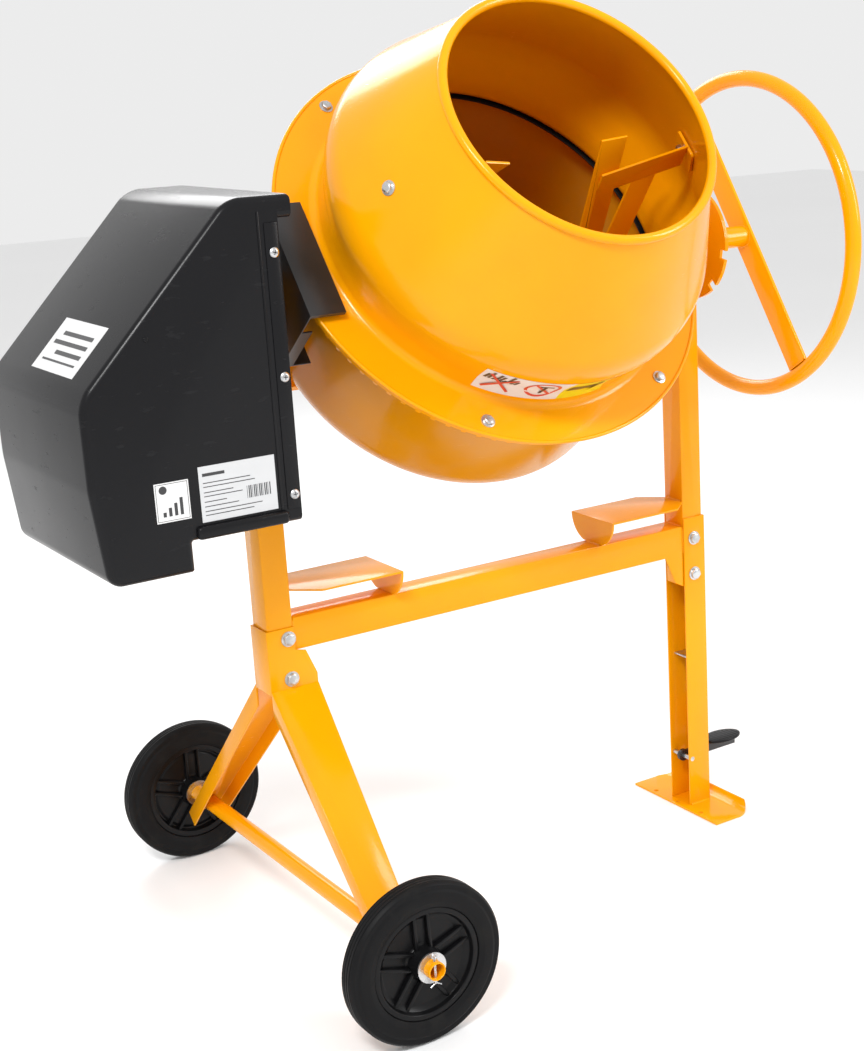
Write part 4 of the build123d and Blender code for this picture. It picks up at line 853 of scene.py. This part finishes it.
class MIXER_OT_welds(MixerPiece, bpy.types.Operator):
    """Weld beads under the enamel"""

    bl_idname = "mixer.welds"
    bl_label = "Welds"

    def execute(self, context):
        radius = settings().weld_radius
        low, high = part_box("crossbeam")
        top, bottom = high[2], 0.444
        front, back = -0.0225, 0.0225
        bm = bmesh.new()
        for x in (LEFT + 0.020, RIGHT - 0.020):
            for z in (top, bottom):
                join(bm, bead((x, front + 0.003, z), (x, back - 0.003, z), radius))
            for y in (front + 0.0005, back - 0.0005):
                join(bm, bead((x, y, bottom + 0.004), (x, y, top - 0.004), radius * 0.75))
        shelf_top = 0.534
        for side, x in ((1, LEFT + 0.020), (-1, RIGHT - 0.020)):
            join(bm, bead((x, -0.019, shelf_top), (x, 0.019, shelf_top), radius * 0.8))
            flap = TILT.x - side * 0.187
            join(bm, bead((flap, -0.019, top), (flap, 0.019, top), radius))
        for x in (LEFT, RIGHT):
            for side in (-1, 1):
                ring = ring_bead(0.0262, radius * 0.8)
                join(bm, ring, Matrix.Translation((x + side * 0.0199, 0, TILT.z)) @ ROUND_X)
        foot = 0.004
        for y in (-0.0255, 0.0255):
            join(bm, bead((RIGHT - 0.018, y, foot), (RIGHT + 0.020, y, foot), radius))
        join(bm, bead((RIGHT + 0.023, -0.022, foot), (RIGHT + 0.023, 0.022, foot), radius))
        piece("frame_welds", bm, "frame", ["enamel"])

        bm = bmesh.new()
        ring_x = RING.x
        for side in (1, -1):
            along = Vector((0, math.cos(math.radians(57)), math.sin(math.radians(57)))) * side
            across = Vector((0, -along.z, along.y))
            spot = Vector((ring_x, 0, TILT.z)) + along * 0.2325
            for face in (-0.0064, 0.0004):
                start = spot - across * 0.0195 + Vector((face, 0, 0))
                join(bm, bead(start, start + across * 0.039, radius * 0.75))
        disc_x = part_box("lock_disc")
        for x in (disc_x[0][0], disc_x[1][0]):
            join(bm, ring_bead(0.0172, radius * 0.8, 48), Matrix.Translation((x, 0, TILT.z)) @ ROUND_X)
        join(bm, ring_bead(0.0172, radius * 0.8, 48),
             Matrix.Translation((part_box("handwheel_spoke")[0][0], 0, TILT.z)) @ ROUND_X)
        piece("handwheel_welds", bm, "tilting_yoke", ["enamel"])
        return {"FINISHED"}


class MIXER_OT_fasteners(MixerPiece, bpy.types.Operator):
    """Frame bolts and nuts, housing screws and guide screws"""

    bl_idname = "mixer.fasteners"
    bl_label = "Fasteners"

    def execute(self, context):
        heads = bmesh.new()
        nuts = bmesh.new()
        face = 0.0255
        for x, z, turn in ((LEFT + 0.010, 0.464, 0.2), (LEFT + 0.010, 0.405, 0.9),
                           (RIGHT, 0.470, 0.5), (RIGHT, 0.410, 1.3)):
            join(heads, hex_head(0.0160, 0.0045, 0.0112), facing((x, -face, z), (0, -1, 0), turn))
            join(heads, shank(0.0050, 2 * face + 0.0120), facing((x, -face, z), (0, -1, 0)))
            join(nuts, hex_head(0.0155, 0.0075), facing((x, face, z), (0, 1, 0), turn))
        piece("frame_bolt_heads", heads, "frame", ["zinc"], ["frame_bolts"])
        piece("frame_bolt_nuts", nuts, "frame", ["zinc"], ["frame_nuts"])

        screws = bmesh.new()
        x = LEFT - 0.029
        for side in (-1, 1):
            for z in (1.013, 0.857, 0.705):
                spot = facing((x, side * 0.1666, z), (0, side, 0), z * 9)
                join(screws, pan_head(0.0065, 0.0030), spot)
                join(screws, shank(0.0030, 0.0120), facing((x, side * 0.165, z), (0, side, 0)))
        # The black second material colours the screws' crosses: painted shade.
        piece("housing_screws", screws, "frame", ["zinc", "black_paint"], ["cover_screws"])

        screws = bmesh.new()
        web = RIGHT + 0.023
        for z in (0.248, 0.192):
            join(screws, pan_head(0.0060, 0.0035), facing((web, 0, z), (1, 0, 0), z * 11))
            join(screws, shank(0.0030, 0.0060), facing((web, 0, z), (1, 0, 0)))
        # The black second material colours the screws' crosses: painted shade.
        piece("guide_screw_heads", screws, "frame", ["zinc", "black_paint"], ["guide_screws"])
        return {"FINISHED"}


class MIXER_OT_wheels(MixerPiece, bpy.types.Operator):
    """Ribbed tyres and dished rims of the two transport wheels"""

    bl_idname = "mixer.wheels"
    bl_label = "Wheels"

    def tyre(self):
        groove = settings().rib_depth
        outer = 0.1125
        half = 0.017
        corners = [(0.0780, -half + 0.0025, 0.001), (0.0860, -half, 0.003), (0.0985, -half, 0.004)]
        corners += [(0.1020, -half + 0.0022, 0.001), (outer - 0.0042, -half + 0.0014, 0.0030)]
        for z in (-0.0105, -0.0045, 0.0015, 0.0075):
            corners += [(outer - groove * 0.2, z, 0.0005), (outer - groove, z + 0.0007, 0),
                        (outer - groove, z + 0.0017, 0), (outer - groove * 0.1, z + 0.0026, 0.0005)]
        corners += [(outer - 0.0042, half - 0.0014, 0.0030), (0.1020, half - 0.0022, 0.001)]
        corners += [(0.0985, half, 0.004), (0.0860, half, 0.003), (0.0780, half - 0.0025, 0.001)]
        return spun(corners, 128, True, 4)

    def rim(self):
        bm = spun([(0.0690, -0.0115, 0.001), (0.0780, -0.0130, 0.002), (0.0780, 0.0130, 0.002),
                   (0.0700, 0.0135, 0.002), (0.0680, 0.0060, 0.003), (0.0600, 0.0010, 0.004),
                   (0.0240, 0.0010, 0.004), (0.0190, 0.0220, 0.0015), (0.01255, 0.0220, 0.0008),
                   (0.01255, -0.0220, 0.0008), (0.0190, -0.0220, 0.0015), (0.0240, -0.0040, 0.004),
                   (0.0600, -0.0040, 0.004), (0.0670, 0.0000, 0.003)], 112, True, 5)
        for index in range(5):
            for offset in (-0.0100, 0.0100):
                turn = Matrix.Rotation(math.tau * index / 5 + 0.33, 4, "Z")
                low, high = offset - 0.0025, offset + 0.0025
                rib = block(bmesh.new(), (0.0165, low, 0.0005), (0.0700, high, 0.0085), 0.0016, 2)
                far = [vert for vert in rib.verts if vert.co.x > 0.06]
                bmesh.ops.scale(rib, vec=(1, 1, 0.72), verts=far)
                join(bm, rib, turn)
                slab(bm, (0.0165, low, -0.0100), (0.0680, high, -0.0035), 0.0016, 2, 0, turn)
        return bm

    def execute(self, context):
        for name, side in (("near", -1), ("far", 1)):
            middle = place_of(name + "_tyre")
            stand = Matrix.Translation(middle) @ facing((0, 0, 0), (0, side, 0))
            wheel = name + "_wheel"
            tyre = self.tyre()
            tyre.transform(stand)
            piece(name + "_ribbed_tyre", tyre, wheel, ["tyre"], [name + "_tyre"])
            rim = self.rim()
            rim.transform(stand)
            piece(name + "_dished_rim", rim, wheel, ["rim"], [name + "_rim"])
        return {"FINISHED"}


class MIXER_OT_axle(MixerPiece, bpy.types.Operator):
    """Axle tube with its split pins"""

    bl_idname = "mixer.axle"
    bl_label = "Axle"

    def execute(self, context):
        low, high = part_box("axle_tube")
        half = (high[1] - low[1]) / 2
        tube = spun([(0.0125, -half, 0.0008), (0.0125, half, 0.0008), (0.0105, half, 0.0006),
                     (0.0105, -half, 0.0006)], 40, True, 4)
        tube.transform(Matrix.Translation(AXLE) @ ROUND_Y)
        piece("axle_bar", tube, "frame", ["enamel"], ["axle_tube"])
        pins = bmesh.new()
        for side in (-1, 1):
            y = AXLE.y + side * (half - 0.006)
            for leg in (-0.0009, 0.0009):
                shaft = bmesh.new()
                rod(shaft, 12, 0.0010, 0.036, Matrix.Translation((AXLE.x + leg, y, AXLE.z - 0.001)))
                join(pins, shaft)
                tip = bmesh.new()
                bent = facing((AXLE.x + leg * 4.6, y, AXLE.z - 0.0200), (leg * 900, 0, -0.5))
                rod(tip, 12, 0.0010, 0.009, bent, 0.0009)
                join(pins, tip)
            eye = hoop(0.0034, 0.0011, 10, 24)
            join(pins, eye, Matrix.Translation((AXLE.x, y, AXLE.z + 0.0195)) @ ROUND_Y)
        piece("axle_split_pins", pins, "frame", ["zinc"], ["split_pins"])
        return {"FINISHED"}


class MIXER_OT_handwheel(MixerPiece, bpy.types.Operator):
    """Tube ring of the handwheel"""

    bl_idname = "mixer.handwheel"
    bl_label = "Handwheel"

    def execute(self, context):
        low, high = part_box("handwheel")
        tube = (high[0] - low[0]) / 2
        radius = (high[2] - low[2]) / 2 - tube
        bm = hoop(radius, tube, 24, 144)
        bm.transform(Matrix.Translation((RING.x, 0, TILT.z)) @ ROUND_X)
        piece("handwheel_ring", bm, "tilting_yoke", ["enamel"], ["handwheel"])
        return {"FINISHED"}


class MIXER_OT_housing(MixerPiece, bpy.types.Operator):
    """Moulded drive housing with its rail, screw strip and labels"""

    bl_idname = "mixer.housing"
    bl_label = "Drive housing"

    def shell(self, outline, half, edge, steps=6):
        """Closed solid whose outline draws in by edge towards the front and back faces."""
        layers = []
        for index in range(steps + 1):
            angle = math.pi / 2 * index / steps
            layers.append((half - edge * (1 - math.cos(angle)), edge * (1 - math.sin(angle))))
        bm = bmesh.new()
        rings = []
        fronts = [(-y, inset) for y, inset in layers]
        backs = [(y, inset) for y, inset in reversed(layers)]
        for y, inset in fronts + backs:
            known = {*bm.verts, *bm.edges}
            chain(bm, drawn_in(outline, inset, LEFT - 0.0205), True, 10)
            fresh = [vert for vert in bm.verts if vert not in known]
            bmesh.ops.translate(bm, vec=(0, y, 0), verts=fresh)
            rings.append([item for item in bm.edges if item not in known])
        for first, second in zip(rings, rings[1:]):
            bmesh.ops.bridge_loops(bm, edges=first + second)
        bmesh.ops.contextual_create(bm, geom=rings[0])
        bmesh.ops.contextual_create(bm, geom=rings[-1])
        return outward(bm)

    def execute(self, context):
        half = 0.165
        outline = [
            (-0.001, 1.054, 0), (-0.001, 1.083, 0.004), (-0.0845, 1.083, 0.045), (-0.296, 0.862, 0.050),
            (-0.296, 0.750, 0.090), (-0.283, 0.628, 0.020), (-0.171, 0.628, 0.004),
            (-0.171, 0.668, 0.003), (-0.020, 0.668, 0), (-0.020, 1.054, 0)]
        outline = [(LEFT + x, z, radius) for x, z, radius in outline]
        bm = self.shell(outline, half, settings().housing_edge)
        mouth = [
            face for face in bm.faces
            if all(abs(vert.co.x - LEFT + 0.020) < 0.0005 for vert in face.verts)]
        bmesh.ops.delete(bm, geom=mouth, context="FACES")
        bmesh.ops.solidify(bm, geom=bm.faces[:], thickness=0.003)
        bmesh.ops.recalc_face_normals(bm, faces=bm.faces[:])
        slab(bm, (LEFT - 0.166, -half - 0.0070, 0.6690), (LEFT - 0.040, -half + 0.004, 0.6860),
             0.0052, 4)
        # A screw strip and the groove beside it, on the front and on the back: proud of the face,
        # the two ends along X, the top and the rounding.
        for side in (-1, 1):
            for proud, outer, inner, top, edge in (
                    (0.0016, 0.0400, 0.0215, 1.0500, 0.0012), (0.0011, 0.0490, 0.0455, 1.0640, 0.0009)):
                low, high = sorted((side * half - side * 0.001, side * half + side * proud))
                slab(bm, (LEFT - outer, low, 0.6860), (LEFT - inner, high, top), edge, 2)
        boss = spun([(0, 0.0012, 0), (0.0030, 0.0012, 0.0008), (0.0034, 0, 0)], 20)
        join(bm, boss, facing((LEFT - 0.206, -half, 0.926), (0, -1, 0)))
        piece("drive_housing", bm, "frame", ["housing"], ["motor_cover"], 40)
        self.labels(half)
        return {"FINISHED"}

    def labels(self, half):
        """Labels with generic marks: a ruled plate, a sign with a dial, a slope label."""
        bm = bmesh.new()
        face = -half - 0.0002

        def patch(x0, z0, x1, z1, lift, mat):
            block(bm, (LEFT + x0, face - 0.0003 - lift, z0), (LEFT + x1, face - lift, z1), 0, 1, mat)

        under, over = 0.0001, 0.0002
        paper, plate, ink = range(3)
        patch(-0.157, 0.690, -0.053, 0.761, under, plate)
        for z, width, tall in (
                (0.748, 0.030, 0.0040), (0.739, 0.064, 0.0011), (0.734, 0.070, 0.0011),
                (0.727, 0.040, 0.0011), (0.722, 0.052, 0.0011), (0.715, 0.030, 0.0011),
                (0.709, 0.046, 0.0011), (0.703, 0.078, 0.0011), (0.698, 0.066, 0.0011)):
            patch(-0.152, z, -0.152 + width, z + tall, over, ink)
        for index in range(14):
            x = -0.094 + index * 0.0024
            patch(x, 0.711, x + (0.0014 if index % 3 else 0.0006), 0.727, over, ink)
        patch(-0.216, 0.699, -0.171, 0.749, under, paper)
        for x0, z0, x1, z1 in ((-0.2145, 0.7005, -0.2138, 0.7475), (-0.1732, 0.7005, -0.1725, 0.7475),
                               (-0.2145, 0.7468, -0.1725, 0.7475), (-0.2145, 0.7005, -0.1725, 0.7012)):
            patch(x0, z0, x1, z1, over, ink)
        for index, height in enumerate((0.006, 0.011, 0.016, 0.022)):
            x = -0.207 + index * 0.0075
            patch(x, 0.706, x + 0.0042, 0.706 + height, over, ink)
        dial = bmesh.new()
        bmesh.ops.create_circle(dial, cap_ends=True, radius=0.0052, segments=24)
        join(bm, dial, facing((LEFT - 0.2050, face - 0.0006, 0.7400), (0, -1, 0)), ink)

        # The slope runs down and outwards from under the top of the housing.
        top = Vector((LEFT - 0.0845, 0, 1.083))
        hip = Vector((LEFT - 0.296, 0, 0.862))
        down = (hip - top).normalized()
        out = Vector((down.z, 0, -down.x))
        if out.z < 0:
            out = -out
        basis = Matrix((down, Vector((0, 1, 0)), out)).transposed().to_4x4()
        slope = Matrix.Translation(top) @ basis
        for x0, y0, x1, y1, lift, mat in (
                (0.204, -0.100, 0.281, 0.045, 0.0003, 0), (0.222, -0.082, 0.228, 0.018, 0.0005, 2),
                (0.236, -0.082, 0.242, 0.030, 0.0005, 2), (0.250, -0.082, 0.256, 0.004, 0.0005, 2),
                (0.264, -0.082, 0.267, 0.030, 0.0005, 2)):
            slab(bm, (x0, y0, lift - 0.0003), (x1, y1, lift), 0, 1, mat, slope)
        piece("housing_labels", bm, "frame", ["paper", "plate", "ink"])


class MIXER_OT_switch(MixerPiece, bpy.types.Operator):
    """Switch box with its frame, screws and two buttons"""

    bl_idname = "mixer.switch"
    bl_label = "Switch"

    def execute(self, context):
        low, high = (Vector(corner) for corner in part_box("switch_box"))
        bm = bmesh.new()
        frame_size = 0.0055
        block(bm, (low.x - 0.004, low.y, low.z - 0.004),
              (high.x + 0.004, low.y + 0.006, high.z + 0.004), 0.002, 3)
        slab(bm, (low.x, low.y + 0.004, low.z), (high.x, high.y - 0.0115, high.z), 0.006, 4)
        for x0, x1, z0, z1 in (
                (low.x, low.x + frame_size, low.z, high.z),
                (high.x - frame_size, high.x, low.z, high.z),
                (low.x, high.x, low.z, low.z + frame_size),
                (low.x, high.x, high.z - frame_size, high.z)):
            slab(bm, (x0, high.y - 0.020, z0), (x1, high.y - 0.001, z1), 0.0022, 3)
        for button in ("start_button", "stop_button"):
            spot = place_of(button)
            collar = spun([(0.0118, 0.0, 0), (0.0118, 0.0100, 0.0010), (0.0165, 0.0100, 0.0020),
                           (0.0180, 0, 0)], 48)
            join(bm, collar, facing((spot.x, high.y - 0.0115, spot.z), (0, 1, 0)))
        for x in (low.x + 0.011, high.x - 0.011):
            for z in (low.z + 0.012, high.z - 0.012):
                join(bm, pan_head(0.0035, 0.0018), facing((x, high.y - 0.0117, z), (0, 1, 0), x * 40))
        # The black second material colours only the screws' crosses: painted shade.
        piece("switch_case", bm, "frame", ["switch", "black_paint"], ["switch_box"])
        for button, look, body in (
                ("start_button", "green", "start_key"), ("stop_button", "red", "stop_key")):
            first, last = (Vector(corner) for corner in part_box(button))
            spot = (first + last) / 2
            depth = last.y - first.y
            crown = 0.0006 if look == "green" else -0.0006
            cap = spun([(0, depth + min(crown, 0) - 0.0002, 0), (0.0070, depth - 0.0003, 0.004),
                        (0.0110, depth - 0.0002, 0.0016), (0.0110, 0, 0.0004), (0, 0, 0)], 56)
            cap.transform(facing((spot.x, first.y, spot.z), (0, 1, 0)))
            piece(button + "_cap", cap, body, [look], [button])
        return {"FINISHED"}


class MIXER_OT_pedal(MixerPiece, bpy.types.Operator):
    """Ribbed pad of the lock pedal"""

    bl_idname = "mixer.pedal"
    bl_label = "Pedal"

    def execute(self, context):
        low, high = (Vector(corner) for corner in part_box("pedal_pad"))
        middle = (low + high) / 2
        size = (high - low) / 2
        bm = bmesh.new()
        rod(bm, 56, 1, 2, Matrix.Diagonal((size.x, size.y, size.z - 0.0006, 1)))
        edges = [edge for edge in bm.edges if len(edge.link_faces) == 2 and edge.calc_face_angle(0) > 1]
        round_off(bm, edges, 0.0016, 3)
        for index in range(-4, 5):
            x = index * 0.0072
            reach = size.y * math.sqrt(max(0.0, 1 - (x / size.x) ** 2)) - 0.0045
            slab(bm, (x - 0.0013, -reach, size.z - 0.0015), (x + 0.0013, reach, size.z), 0.0006, 2)
        bm.transform(Matrix.Translation(middle))
        piece("pedal_grip", bm, "pedal", ["housing"], ["pedal_pad"])
        return {"FINISHED"}


OPERATORS = (
    MIXER_OT_stage, MIXER_OT_surfaces, MIXER_OT_drum, MIXER_OT_drum_bolts, MIXER_OT_plates,
    MIXER_OT_welds, MIXER_OT_fasteners, MIXER_OT_wheels, MIXER_OT_axle, MIXER_OT_handwheel,
    MIXER_OT_housing, MIXER_OT_switch, MIXER_OT_pedal)


class MIXER_PT_panel(bpy.types.Panel):
    """Lists the mixer's pieces"""

    bl_idname = "MIXER_PT_panel"
    bl_label = "Concrete Mixer"
    bl_space_type = "VIEW_3D"
    bl_region_type = "UI"
    bl_category = "Mixer"

    def draw(self, context):
        for name in MixerSettings.__annotations__:
            self.layout.prop(context.scene.mixer, name)
        for operator in OPERATORS:
            self.layout.operator(operator.bl_idname)


CLASSES = (MixerSettings, *OPERATORS, MIXER_PT_panel)


def register():
    for item in CLASSES:
        bpy.utils.register_class(item)
    bpy.types.Scene.mixer = PointerProperty(type=MixerSettings)


def unregister():
    del bpy.types.Scene.mixer
    for item in reversed(CLASSES):
        bpy.utils.unregister_class(item)


def main():
    register()
    for operator in OPERATORS:
        group, name = operator.bl_idname.split(".")
        getattr(getattr(bpy.ops, group), name)()


if __name__ == "__main__":
    main()
